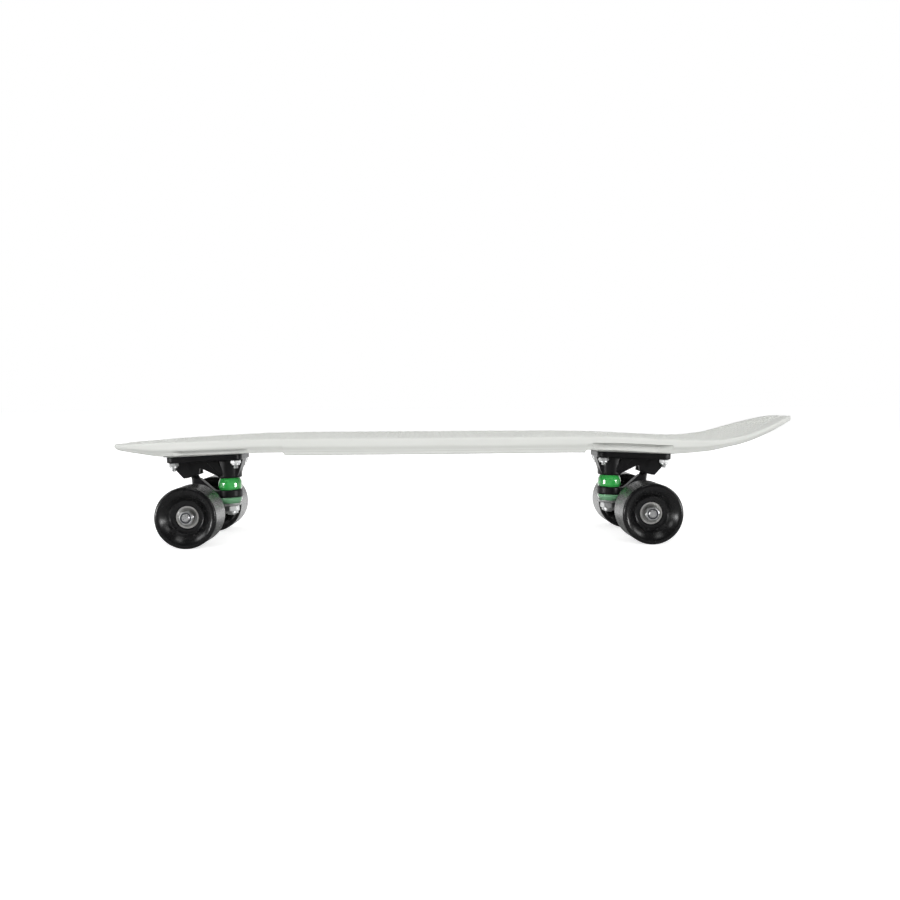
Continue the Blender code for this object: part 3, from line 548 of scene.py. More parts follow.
def deckShell():
    loop, normals = deckOutline()
    sections = [rimSection(rimAt(p.x)) for p in loop]
    rings = []
    for level in zip(*sections):
        spots = [(p - normal * inset, drop) for p, normal, (inset, drop) in zip(loop, normals, level)]
        rings.append([(spot.x, spot.y, topAt(spot.x) - drop) for spot, drop in spots])
    work = bmesh.new()
    skinRings(work, rings)
    work.verts.ensure_lookup_table()
    size = len(loop)
    for row in (work.verts[:size], work.verts[-size:]):
        for i in range(size // 2):  # the faces across the deck narrow to triangles at its two tips
            corners = (row[i], row[i + 1], row[size - i - 1], row[(size - i) % size])
            work.faces.new(list(dict.fromkeys(corners)))
    return newPiece("deck", finishedMesh(work, merge=deckSizes["weld"]), finish["deckPlastic"])


scoopSizes = {"half": 0.0440, "fade": 0.0160, "depth": 0.0105, "clear": 0.0010, "wall": 0.0028}
scoopPlaces = ((0.2405, 0.0092), (-0.1708, 0.0064))  # (middle, drop of the ceiling below the top face)


def scoopDepth(x, middle):
    # How far the scoop in the rim beside a truck reaches in; it fades out at both ends.
    return scoopSizes["depth"] * easing((scoopSizes["half"] - abs(x - middle)) / scoopSizes["fade"])


def rimWidthAt(x):
    # The rim keeps a wall behind the scoops.
    deepest = max(scoopDepth(x, place[0]) for place in scoopPlaces)
    return max(deckSizes["rim"], deepest + scoopSizes["wall"])


pocketSizes = {
    "corner": 0.0030, "leastCorner": 0.0008, "fillet": 0.0016, "draft": 0.0002, "pitch": 0.007,
    "mouth": (  # (inset, rise) from below the rim's foot up into the pocket
        (-0.0012, -0.0060), (-0.0007, -0.0004), (-0.0003, 0.0001), (-0.0001, 0.0004), (0.0, 0.0008)),
    "beyond": 0.120, "margin": 0.005, "padMargin": 0.004, "padLap": 0.001, "leastReach": 0.004,
    "middleCells": 5, "tailCells": 2,
}


def halfPocket(length, radius, alongSteps):
    # Half of a rounded rectangle, (along, across), from the middle of one end to the middle of the other.
    corner = quarterRound(radius, 4)
    run = length - 2 * radius
    side = [(radius + run * step / alongSteps, 0.0) for step in range(1, alongSteps)]
    return corner + side + [(length - up, across) for across, up in corner]


def addPocket(work, front, back, inner, outer, side, skin=deckSizes["skin"], followRim=True):
    # One pocket as a cutter: flared mouth, drafted walls, rounded corners and a filleted ceiling.
    # inner is a distance from the middle line, or a function of x.
    def roofAt(x):
        return skin

    def outerAt(x):
        return min(outer, halfWidthAt(x) - rimWidthAt(x)) if followRim else outer

    def innerAt(x):
        return inner(x) if callable(inner) else inner

    fillet = quarterRound(pocketSizes["fillet"], 3)
    levels = [(inset, rise, rimAt) for inset, rise in pocketSizes["mouth"]]
    levels += [(pocketSizes["draft"] + across, -up, roofAt) for across, up in fillet]
    middle = (front + back) / 2
    width = outerAt(middle) - innerAt(middle)
    steps = max(2, round((front - back) / pocketSizes["pitch"]))
    rings = []
    for inset, rise, dropAt in levels:
        corner = max(pocketSizes["corner"] - inset, pocketSizes["leastCorner"])
        line = halfPocket(front - back - 2 * inset, corner, steps)
        points = []
        for mirrored in (False, True):
            for along, across in (reversed(line) if mirrored else line):
                x = back + inset + along
                share = across / (width - 2 * inset)
                reach = outerAt(min(max(x, back), front)) - innerAt(x) - 2 * inset
                y = innerAt(x) + inset + reach * ((1 - share) if mirrored else share)
                points.append((x, side * y, topAt(x) - dropAt(x) + rise))
        rings.append(points)
    skinRings(work, rings)
    for ring in (rings[0], rings[-1]):
        row = [work.verts.new(point) for point in ring]
        count = len(row)
        for i in range(count // 2 - 1):
            work.faces.new((row[i], row[i + 1], row[count - 2 - i], row[count - 1 - i]))


def cells(start, end, count):
    # (front, back) of pockets in a row, with a rib between neighbours.
    rib = deckSizes["rib"]
    run = (start - end - rib * (count - 1)) / count
    return [(start - i * (run + rib), start - i * (run + rib) - run) for i in range(count)]


truckSizes = {
    "axles": {"front": 0.264, "rear": -0.190}, "wheelRadius": 0.030, "height": 0.057,
    "tilt": math.radians(2.45), "kingpin": 0.0280, "boltLong": 0.0635, "boltWide": 0.0413,
    "plateLength": 0.077, "plateWidth": 0.055, "plateThickness": 0.006, "plateMiddle": 0.0072,
    "plateCorner": 0.008, "padMargin": 0.0025, "padHalfWidth": 0.0290, "padDepth": 0.0136,
    "padCorner": 0.006,
}
boltSigns = [(1, 1), (1, -1), (-1, 1), (-1, -1)]


def truckPlace(end):
    # The truck's own frame: X towards the middle of the board, Z square to the baseplate, at the axle.
    half = math.pi if end == "front" else 0
    return (Matrix.Translation((truckSizes["axles"][end], 0, truckSizes["wheelRadius"]))
            @ Matrix.Rotation(half, 4, "Z") @ Matrix.Rotation(-truckSizes["tilt"], 4, "Y"))


def boltSpot(sx, sy):
    return truckSizes["plateMiddle"] + sx * truckSizes["boltLong"] / 2, sy * truckSizes["boltWide"] / 2


def boltPlaces(end):
    # Truck-frame places of the four bolt heads, on the deck's top face.
    place = truckPlace(end)
    spots = []
    for sx, sy in boltSigns:
        x, y = boltSpot(sx, sy)
        rise = truckSizes["height"]
        for repeat in range(2):  # the face slopes, so the second step corrects the first
            head = place @ Vector((x, y, rise))
            rise += (topAt(head.x) - head.z) / math.cos(truckSizes["tilt"])
        spots.append((x, y, rise))
    return spots


boltSizes = {
    "radius": 0.0024, "length": 0.0320, "plain": 0.0200, "thread": 0.0122, "pitch": 0.0008,
    "headRadius": 0.0047, "headHeight": 0.0028, "recess": 0.0004, "holeClear": 0.0004,
    "cross": ((0.0030, 0.00062), (0.0027, 0.00055), (0.0009, 0.00035)),  # (half length, half width)
    "crossAbove": 0.001, "crossDepth": 0.0026,
    "across": 0.0095, "nutHeight": 0.0050, "collar": (0.0041, 0.0016),  # (radius, height)
}


def cutPockets(deck, pads):
    rib = deckSizes["rib"]
    laneA, laneB = deckSizes["laneEdges"]
    frontStep, rearStep = deckSizes["frontStep"], deckSizes["rearStep"]
    beyond, margin = pocketSizes["beyond"], pocketSizes["margin"]
    lanes = [(rib / 2, laneA), (laneA + rib, laneB), (laneB + rib, beyond)]
    frontStart, frontEnd = pads[0]
    rearEnd = pads[1][1]
    columns = cells(frontStep - margin, rearStep + margin, pocketSizes["middleCells"])
    columns += cells(frontEnd - pocketSizes["padMargin"], frontStep + margin, 1)
    columns += cells(rearEnd - margin, deckSizes["tailPocketEnd"], pocketSizes["tailCells"])
    work = bmesh.new()
    for side in (1, -1):
        for front, back in columns:
            for inner, outer in lanes:
                if inner < halfWidthAt(back) - deckSizes["rim"] - pocketSizes["leastReach"]:
                    addPocket(work, front, back, inner, outer, side)
        addPocket(work, deckSizes["nosePocketTip"], frontStart + margin, *lanes[0], side)
        addPocket(work, deckSizes["nosePocketSide"], frontStart + margin, lanes[1][0], beyond, side)
        for front, back in pads:
            addPocket(work, front, back, truckSizes["padHalfWidth"] - pocketSizes["padLap"], beyond, side)
    cutWith(deck, finishedMesh(work))


def cutScoops(deck):
    work = bmesh.new()
    for middle, drop in scoopPlaces:
        def edge(x):
            depth = scoopDepth(x, middle)
            return halfWidthAt(x) + scoopSizes["clear"] * (1 - depth / scoopSizes["depth"]) - depth

        for side in (1, -1):
            addPocket(work, middle + scoopSizes["half"], middle - scoopSizes["half"], edge,
                      pocketSizes["beyond"], side, skin=drop, followRim=False)
    cutWith(deck, finishedMesh(work))


def addPadsAndHoles(deck, pads):
    head = boltSizes["headRadius"] + gap
    wide = head + 0.0004
    shank = boltSizes["radius"] + boltSizes["holeClear"]
    recess = boltSizes["recess"]
    above, below = 0.004, -0.030  # the drill's reach past the deck's faces
    drill = [(0, above), (wide, above), (wide, 0.0001), (head, -recess),
             (shank, -boltSizes["headHeight"] - recess), (shank, below), (0, below)]
    low = truckSizes["height"]
    outline = roundedRectangle(pads[0][0] - pads[0][1], 2 * truckSizes["padHalfWidth"],
                               truckSizes["padCorner"], truckSizes["plateMiddle"])
    drills = []
    for end in ends:
        place = truckPlace(end)
        pad = slab(outline, low, low + truckSizes["padDepth"], "XY")
        pad.transform(place)
        cutWith(deck, pad, "UNION")
        drills += [turnedMesh(drill, 32, place @ Matrix.Translation(spot)) for spot in boltPlaces(end)]
    cutWith(deck, joinedMesh(drills))


def deckPiece():
    deck = deckShell()
    reach = truckSizes["plateLength"] / 2 + truckSizes["padMargin"]
    pads = []  # (front, back) of the pads that the baseplates sit on
    for end, sign in (("front", -1), ("rear", 1)):
        middle = truckSizes["axles"][end] + sign * truckSizes["plateMiddle"]
        pads.append((middle + reach, middle - reach))
    cutPockets(deck, pads)
    print("deck pockets cut")
    cutScoops(deck)
    addPadsAndHoles(deck, pads)
    dress(cleaned(deck, 28), "board", "white_deck_plastic", "deck")
    print("deck made:", len(deck.data.polygons), "faces")
    return deck


deck = deckPiece()


# Grip: raised pips moulded into the deck's top face

gripSizes = {
    "pitch": 0.0074, "border": 0.0125, "boltClear": 0.0090, "half": 0.0029, "height": 0.00050,
    "sunk": 0.0004, "chamfer": 0.00045, "span": 0.70, "above": 0.30, "fieldHeight": 0.2,
}


def gripTree():
    # A diagonal grid of points above the deck: where a point lies over the field and clear of the bolts,
    # a pip is dropped onto the deck and leaned with its surface.
    tree = bpy.data.node_groups.new("gripPips", "GeometryNodeTree")
    given = nodeInputs(tree, {
        "Pitch": "Float", "Bolt clearance": "Float", "Pip": "Object", "Deck": "Object",
        "Field": "Object", "Bolts": "Object", "Finish": "Material"})
    shapes = {}
    for label in ("Pip", "Deck", "Field", "Bolts"):
        info = addNode(tree, "GeometryNodeObjectInfo", {"Object": given[label]})
        shapes[label] = info.outputs["Geometry"]
    span = gripSizes["span"]
    steps = mathNode(tree, "ROUND", mathNode(tree, "DIVIDE", span, given["Pitch"]))
    count = mathNode(tree, "ADD", steps, 1)
    grid = addNode(tree, "GeometryNodeMeshGrid", {
        "Size X": span, "Size Y": span, "Vertices X": count, "Vertices Y": count})
    above = addNode(tree, "GeometryNodeTransform", {
        "Geometry": grid, "Translation": (0, 0, gripSizes["above"]), "Rotation": (0, 0, math.pi / 4)})
    hits = {}
    for label in ("Field", "Deck"):
        hits[label] = addNode(tree, "GeometryNodeRaycast", {
            "Target Geometry": shapes[label], "Ray Direction": (0, 0, -1), "Ray Length": 1.0}).outputs
    landing = hits["Deck"]["Hit Position"]
    near = addNode(tree, "GeometryNodeProximity", {
        0: shapes["Bolts"], "Sample Position": landing}, target_element="POINTS")
    clear = addNode(tree, "FunctionNodeCompare", {
        "A": near.outputs["Distance"], "B": given["Bolt clearance"]}, operation="GREATER_THAN")
    keep = addNode(tree, "FunctionNodeBooleanMath", {0: hits["Field"]["Is Hit"], 1: clear}, operation="AND")
    lean = addNode(tree, "FunctionNodeAlignRotationToVector", {
        "Vector": hits["Deck"]["Hit Normal"]}, axis="Z")
    place = addNode(tree, "GeometryNodeInstanceOnPoints", {
        "Points": above, "Selection": keep, "Instance": shapes["Pip"], "Rotation": lean})
    drop = addNode(tree, "GeometryNodeSetPosition", {"Geometry": place, "Position": landing})
    return endTree(tree, drop, given["Finish"])


def gripPip():
    # A low square with eased edges, its base sunk into the deck.
    half, height = gripSizes["half"], gripSizes["height"]
    levels = ((0, -gripSizes["sunk"]), (0.00005, 0.00005), (0.00030, height - 0.00010), (0.00050, height))
    rings = []
    for inset, up in levels:
        side = half - inset
        corner = side - gripSizes["chamfer"]
        rings.append([(side, corner, up), (corner, side, up), (-corner, side, up), (-side, corner, up),
                      (-side, -corner, up), (-corner, -side, up), (corner, -side, up), (side, -corner, up)])
    work = bmesh.new()
    skinRings(work, rings, capEnds=True)
    work.transform(Matrix.Rotation(math.pi / 4, 4, "Z"))
    return newPiece("gripPip", finishedMesh(work))


def gripPiece():
    work = bmesh.new()
    inner = [p - normal * gripSizes["border"] for p, normal in zip(*deckOutline())]
    work.faces.new([work.verts.new((p.x, p.y, gripSizes["fieldHeight"])) for p in inner])
    field = newPiece("gripField", finishedMesh(work))
    heads = bpy.data.meshes.new("boltHeads")
    heads.from_pydata([truckPlace(end) @ Vector(spot) for end in ends for spot in boltPlaces(end)], [], [])
    bolts = newPiece("boltHeads", heads)
    pip = gripPip()
    grip = grown("deckGrip", gripTree(), {
        "Pitch": gripSizes["pitch"], "Bolt clearance": gripSizes["boltClear"], "Pip": pip, "Deck": deck,
        "Field": field, "Bolts": bolts, "Finish": finish["deckPlastic"]})
    dropPiece(pip, field, bolts)
    dress(cleaned(grip, 40), "board", "white_deck_plastic")
    print("grip made:", len(grip.data.polygons), "faces")


gripPiece()


# Threads, nuts and fasteners

threadSizes = {"depth": 0.55, "root": 1.4, "weld": 0.000002}  # depth in pitches, root in depths
seeds = {"deckBolts": 7, "deckNuts": 9, "frontKingpinNut": 5, "rearKingpinNut": 11, "axleNuts": 11,
         "stacks": 2, "bearings": 4, "snapRings": 9}  # how each set's pieces are turned by chance


def threadTree():
    # A rod whose radius rises and falls along a helix, closed and chamfered at both ends.
    tree = bpy.data.node_groups.new("threadedRod", "GeometryNodeTree")
    given = nodeInputs(tree, {
        "Radius": "Float", "Pitch": "Float", "Depth": "Float", "Start": "Float", "Length": "Float",
        "Rows": "Int", "Around": "Int", "Finish": "Material"})

    def calc(operation, *values):
        return mathNode(tree, operation, *values)

    grid = addNode(tree, "GeometryNodeMeshGrid", {
        "Size X": 1.0, "Size Y": 1.0, "Vertices X": given["Rows"], "Vertices Y": given["Around"]})
    position = addNode(tree, "GeometryNodeInputPosition")
    split = addNode(tree, "ShaderNodeSeparateXYZ", {"Vector": position}).outputs
    along = calc("MULTIPLY", calc("ADD", split["X"], 0.5), given["Length"])
    around = calc("ADD", split["Y"], 0.5)
    phase = calc("FRACT", calc("SUBTRACT", calc("DIVIDE", along, given["Pitch"]), around))
    valley = calc("MULTIPLY", calc("ABSOLUTE", calc("SUBTRACT", phase, 0.5)), 2.0)
    flank = calc("SUBTRACT", given["Radius"], calc("MULTIPLY", valley, given["Depth"]))
    fromEnd = calc("MINIMUM", along, calc("SUBTRACT", given["Length"], along))
    root = calc("SUBTRACT", given["Radius"], calc("MULTIPLY", given["Depth"], threadSizes["root"]))
    chamfered = calc("MINIMUM", flank, calc("ADD", root, fromEnd))
    radius = calc("MULTIPLY", chamfered, calc("GREATER_THAN", fromEnd, 0.000001))
    angle = calc("MULTIPLY", around, tau)
    spot = addNode(tree, "ShaderNodeCombineXYZ", {
        "X": calc("MULTIPLY", radius, calc("COSINE", angle)),
        "Y": calc("MULTIPLY", radius, calc("SINE", angle)), "Z": calc("ADD", along, given["Start"])})
    move = addNode(tree, "GeometryNodeSetPosition", {"Geometry": grid, "Position": spot})
    weld = addNode(tree, "GeometryNodeMergeByDistance", {"Geometry": move, "Distance": threadSizes["weld"]})
    return endTree(tree, weld, given["Finish"])


rodTree = threadTree()


def threadedRod(radius, pitch, start, length, around=41, rowsPerTurn=8):
    rod = grown("rod", rodTree, {
        "Radius": radius, "Pitch": pitch, "Depth": threadSizes["depth"] * pitch, "Start": start,
        "Length": length, "Rows": round(length / pitch * rowsPerTurn) + 1, "Around": around,
        "Finish": finish["zincPlate"]})
    mesh = cleaned(rod, 60).data
    dropPiece(rod)
    return mesh


def scatterTree():
    # Copies of one item on points, each leaned as its point says and turned by chance about its own axis.
    tree = bpy.data.node_groups.new("copiesOnPoints", "GeometryNodeTree")
    given = nodeInputs(tree, {"Item": "Object", "Seed": "Int", "Finish": "Material"})
    item = addNode(tree, "GeometryNodeObjectInfo", {"Object": given["Item"]}).outputs["Geometry"]
    lean = addNode(tree, "GeometryNodeInputNamedAttribute", {"Name": "lean"}, data_type="FLOAT_VECTOR")
    leaned = addNode(tree, "FunctionNodeEulerToRotation", {"Euler": lean})
    place = addNode(tree, "GeometryNodeInstanceOnPoints", {
        "Points": given["Geometry"], "Instance": item, "Rotation": leaned})
    chance = addNode(tree, "FunctionNodeRandomValue", {"Seed": given["Seed"]}, data_type="FLOAT")
    twist = addNode(tree, "ShaderNodeCombineXYZ", {"Z": mathNode(tree, "MULTIPLY", chance, tau)})
    turn = addNode(tree, "GeometryNodeRotateInstances", {"Instances": place, "Rotation": twist})
    return endTree(tree, turn, given["Finish"])


copiesTree = scatterTree()


def scatter(name, item, places, seed, body, slot=None, *nodes):
    # Dressed copies of an item, whose own axis is Z, at places given as 4x4 matrices.
    points = bpy.data.meshes.new(name)
    points.from_pydata([place.to_translation() for place in places], [], [])
    lean = points.attributes.new("lean", "FLOAT_VECTOR", "POINT")
    for value, place in zip(lean.data, places):
        value.vector = place.to_euler()
    values = {"Item": item, "Seed": seed, "Finish": item.data.materials[0]}
    dress(cleaned(grown(name, copiesTree, values, points)), body, slot, *nodes)


hexSizes = {"rounding": 0.985, "face": 0.475, "slope": 1.9, "reach": 0.10,
            "steps": (0, 0.12, 0.24, 0.38, 0.55)}  # shares of the width across flats, slope apart
nutSizes = {"steps": 72, "seat": 0.70, "collarFoot": 0.44}  # seat: share of the collar's wall


def hexRings(across, bottom, top, steps):
    # Rings up a hexagon with slightly rounded corners, chamfered by a cone at both ends.
    def radiusAt(angle, rise):
        off = (angle + math.pi / 6) % (math.pi / 3) - math.pi / 6
        corner = across / 2 / math.cos(math.pi / 6) * hexSizes["rounding"]
        return min(across / 2 / math.cos(off), corner, hexSizes["face"] * across + rise * hexSizes["slope"])

    rises = [part * hexSizes["reach"] * across for part in hexSizes["steps"]]
    levels = [(rise, bottom + rise) for rise in rises] + [(rise, top - rise) for rise in reversed(rises)]
    return [ringAt(lambda angle, rise=rise: radiusAt(angle, rise), height, steps) for rise, height in levels]


def lockNut(sizes, bore):
    # Hexagon with a rolled collar that holds the locking ring; returns the nut and the ring.
    across, height = sizes["across"], sizes["nutHeight"]
    collarRadius, collarHeight = sizes["collar"]
    steps = nutSizes["steps"]
    hexTop = height - collarHeight
    seat = bore + nutSizes["seat"] * (collarRadius - bore)
    rings = [ringAt(bore, 0.0005, steps), ringAt(bore + 0.0004, 0.0, steps)]
    rings += hexRings(across, 0.0, hexTop, steps)
    collar = roundedLine([(nutSizes["collarFoot"] * across, hexTop), (collarRadius + 0.0001, hexTop, 0.0002),
                          (collarRadius, height, 0.0009), (seat, height, 0.0002), (seat, height - 0.0008)], 5)
    collar += [(seat, hexTop + 0.0004), (bore, hexTop + 0.0002)]
    rings += [ringAt(radius, up, steps) for radius, up in collar]
    work = bmesh.new()
    skinRings(work, rings, loop=True)
    nut = newPiece("nut", finishedMesh(work), finish["zincPlate"])
    low = hexTop + 0.0006
    inner, outer = bore + 0.0001, seat - 0.0001
    profile = roundedLine([(inner, low), (outer, low), (outer, height - 0.0003, 0.0002),
                           (inner, height - 0.0004, 0.0004), (inner, low + 0.0001)])
    return nut, turned("insert", profile, 48, finish["nylonRing"], closed=True)


def lockNuts(name, ringName, sizes, bore, places, seed, body, *nodes):
    nut, ring = lockNut(sizes, bore)
    scatter(name, nut, places, seed, body, "zinc_plated_steel", *nodes)
    scatter(ringName, ring, places, seed, body)
    dropPiece(nut, ring)


def deckBolt():
    # Countersunk screw with a cross recess and a cut thread, its head's face at height 0.
    radius, headRadius = boltSizes["radius"], boltSizes["headRadius"]
    recess, plain = boltSizes["recess"], boltSizes["plain"]
    profile = roundedLine([(0, -recess), (headRadius - 0.0002, -recess, 0.0001),
                           (headRadius, -recess - 0.0003, 0.0001),
                           (radius, -boltSizes["headHeight"] - recess, 0.0003),
                           (radius, -plain), (radius - 0.0003, -plain - 0.0003), (0, -plain - 0.0003)])
    bolt = turned("bolt", profile, 40, finish["zincPlate"])
    heights = (boltSizes["crossAbove"], -recess, -boltSizes["crossDepth"])
    for turn in (0, math.pi / 2):
        rings = [[(length, width, height), (-length, width, height), (-length, -width, height),
                  (length, -width, height)] for height, (length, width) in zip(heights, boltSizes["cross"])]
        work = bmesh.new()
        skinRings(work, rings, capEnds=True)
        arm = finishedMesh(work)
        arm.transform(Matrix.Rotation(turn, 4, "Z"))
        cutWith(bolt, arm)
    rod = threadedRod(radius, boltSizes["pitch"], -boltSizes["length"], boltSizes["thread"],
                      around=21, rowsPerTurn=6)
    mesh = joinedMesh([bolt.data, rod])
    dropPiece(bolt)
    return newPiece("bolt", mesh, finish["zincPlate"])


def deckFasteners():
    bolt = deckBolt()
    under = truckSizes["height"] - 2 * gap - truckSizes["plateThickness"]
    boltPoints = []
    nutPoints = []
    for end in ends:
        place = truckPlace(end)
        for x, y, top in boltPlaces(end):
            boltPoints.append(place @ Matrix.Translation((x, y, top)))
            nutPoints.append(place @ Matrix.Translation((x, y, under)) @ Matrix.Rotation(math.pi, 4, "X"))
    numbers = [(end, number) for end in ends for number in range(1, 5)]
    scatter("deckBolts", bolt, boltPoints, seeds["deckBolts"], "board", "zinc_plated_steel",
            *[f"{end}_deck_bolt_{number}" for end, number in numbers])
    dropPiece(bolt)
    lockNuts("deckNuts", "deckNutRings", boltSizes, boltSizes["radius"], nutPoints, seeds["deckNuts"],
             "board", *[f"{end}_deck_nut_{number}" for end, number in numbers])
    print("deck fasteners made")


deckFasteners()


# Castings: shapes joined, their skin remeshed and smoothed like sand-cast corners, then machined

castSizes = {"voxel": 0.00055, "softening": 0.5, "smoothing": 9, "keep": 0.45}
pivotSizes = {"x": -0.0096, "z": 0.0398, "lean": math.radians(15.2), "ball": 0.0050}
kingpinSizes = {  # heights are from the axle, in the truck's frame
    "radius": 0.0047, "shank": (0.0520, 0.0030), "head": (0.0508, 0.0558), "steps": 72,
    "thread": (-0.0076, 0.0108), "pitch": 0.00106,  # (start, length)
    "seat": 0.0329, "washer": 0.0010, "washerRadius": 0.0112,  # the top washer sits below the seat
    "ringTop": 0.0187, "ringBottom": 0.0111, "coneFoot": 0.0039,  # the hanger's ring, the lower bushing
    "across": 0.0143, "nutHeight": 0.0080, "collar": (0.0064, 0.0022), "nutTop": 0.0019,
}
baseplateSizes = {  # posts are (high, low, radius, radius below)
    "sunk": 0.003, "webHalf": 0.0100, "ribMiddle": 0.0108, "ribHalf": 0.0014,
    "pivotBoss": (0.0125, -0.0050, 0.0114, 0.0094), "pivotBore": (0.0068, -0.0120, 0.0075),
    "kingpinBoss": (0.0315, 0.0137, 0.0127), "boltBoss": (0.0062, 0.0060), "boltBossDepth": 0.0058,
    "boltDrill": (0.065, 0.040), "window": (0.0120, 0.0140, 0.003, 0.0095), "windowHalf": 0.006,
}
hangerSizes = {"webHalf": 0.0056, "wingHalf": 0.0034, "ringRadius": 0.0125,
               "kingpinBore": (0.030, 0.0, 0.0070), "axleBore": (0.060, -0.060, 0.0043)}
pivotPlace = (Matrix.Translation((pivotSizes["x"], 0, pivotSizes["z"]))
              @ Matrix.Rotation(-pivotSizes["lean"], 4, "Y"))
kingpinPlace = Matrix.Translation((truckSizes["kingpin"], 0, 0))
alongAxle = Matrix.Rotation(-math.pi / 2, 4, "X")


def casting(name, shapes, bores):
    cast = newPiece(name, joinedMesh(shapes), finish["castBlack"])
    skin = cast.modifiers.new("skin", "REMESH")
    skin.mode = "VOXEL"
    skin.voxel_size = castSizes["voxel"]
    soften = cast.modifiers.new("soften", "SMOOTH")
    soften.factor = castSizes["softening"]
    soften.iterations = castSizes["smoothing"]
    thin = cast.modifiers.new("thin", "DECIMATE")
    thin.ratio = castSizes["keep"]
    settled(cast)
    for bore in bores:
        cutWith(cast, bore)
    return cleaned(cast, 40)


def baseplateMesh():
    sizes = baseplateSizes
    middle, height, seat = truckSizes["plateMiddle"], truckSizes["height"], kingpinSizes["seat"]
    high = height - gap
    under = height - sizes["sunk"]  # the shapes below reach this far up into the plate
    pin = kingpinSizes["radius"] + gap
    hole = boltSizes["radius"] + gap
    plate = roundedRectangle(truckSizes["plateLength"], truckSizes["plateWidth"],
                             truckSizes["plateCorner"], middle)
    web = [(-0.0288, under), (-0.0285, 0.0505), (-0.0249, 0.0415), (-0.0178, 0.0330), (-0.0050, 0.0362),
           (-0.0016, 0.0376), (-0.0008, 0.0438), (0.0185, 0.0332), (0.0378, 0.0332), (0.0394, 0.0360),
           (0.0444, 0.0505), (0.0444, under)]
    rib = [(0.004, 0.0525), (0.0180, 0.0525), (0.0230, 0.0370), (0.0200, 0.0345)]
    boss = post(high, high - sizes["boltBossDepth"], *sizes["boltBoss"])
    kingpinBore = [(0, 0.065), (0.0092, 0.065), (0.0092, 0.0505), (pin, 0.0505), (pin, seat),
                   (0.0114, seat), (0.0114, 0.025), (0, 0.025)]
    shapes = [
        slab(plate, high - truckSizes["plateThickness"], high, "XY"),
        slab(web, -sizes["webHalf"], sizes["webHalf"]),
        turnedMesh(post(under, *sizes["kingpinBoss"]), 64, kingpinPlace),
        turnedMesh(post(*sizes["pivotBoss"]), 56, pivotPlace),
    ]
    for sy in (1, -1):
        side = sy * sizes["ribMiddle"]
        shapes.append(slab(rib, side - sizes["ribHalf"], side + sizes["ribHalf"]))
        for sx in (1, -1):
            shapes.append(turnedMesh(boss, 32, Matrix.Translation((*boltSpot(sx, sy), 0))))
    holes = [turnedMesh(post(*sizes["boltDrill"], hole), 32, Matrix.Translation((*boltSpot(sx, sy), 0)))
             for sx, sy in boltSigns]
    window = roundedRectangle(*sizes["window"])
    bores = [
        turnedMesh(post(*sizes["pivotBore"]), 56, pivotPlace),
        turnedMesh(kingpinBore, 64, kingpinPlace),
        slab(window, height - sizes["windowHalf"], height + sizes["windowHalf"], "XY"),
        joinedMesh(holes),
    ]
    return casting("baseplate", shapes, bores)


def hangerMesh():
    sizes = hangerSizes
    halfBeam = [(0, 0.0508), (0.0074, 0.0508), (0.0078, 0.044), (0.0102, 0.010)]
    web = [(-0.0098, 0.0000), (-0.0104, 0.0230), (-0.0098, 0.0292), (-0.0070, 0.0326), (-0.0026, 0.0326),
           (0.0120, 0.0190), (0.0160, 0.0178), (0.0205, 0.0178), (0.0205, 0.0118), (0.0165, 0.0112),
           (0.0098, -0.0040), (0.0040, -0.0090), (-0.0050, -0.0088)]
    wing = [(-0.0440, 0.0045), (-0.0080, 0.0215), (0.0080, 0.0215), (0.0440, 0.0045), (0.0440, -0.0040),
            (-0.0440, -0.0040)]
    ring = post(kingpinSizes["ringTop"], kingpinSizes["ringBottom"], sizes["ringRadius"])
    ball = pivotSizes["ball"]
    angles = [math.radians(75 - 15 * step) for step in range(8)]
    stem = [(0, ball)] + [(ball * math.cos(angle), ball * math.sin(angle)) for angle in angles]
    stem += [(0.0040, -0.0052), (0.0046, -0.0085), (0.0056, -0.0130), (0, -0.0130)]
    shapes = [
        turnedMesh(halfBeam + flipped(halfBeam), 64, alongAxle),
        slab(web, -sizes["webHalf"], sizes["webHalf"]),
        slab(wing, -sizes["wingHalf"], sizes["wingHalf"], "YZ"),
        turnedMesh(ring, 64, kingpinPlace),
        turnedMesh(stem, 48, pivotPlace),
    ]
    bores = [
        turnedMesh(post(*sizes["kingpinBore"]), 56, kingpinPlace),
        turnedMesh(post(*sizes["axleBore"]), 40, alongAxle),
    ]
    return casting("hanger", shapes, bores)


def castings():
    baseplate = baseplateMesh()
    hanger = hangerMesh()
    for end in ends:
        for name, source, body in (("Baseplate", baseplate, "board"), ("Hanger", hanger, end + "_truck")):
            mesh = source.data.copy()
            mesh.transform(truckPlace(end))
            dress(newPiece(end + name, mesh), body, "black_painted_metal", f"{end}_{name.lower()}")
    print("castings made:", len(baseplate.data.polygons), "and", len(hanger.data.polygons), "faces")
    dropPiece(baseplate, hanger)


castings()


# Kingpin group: pin, washers, bushings, nut and the pivot cup

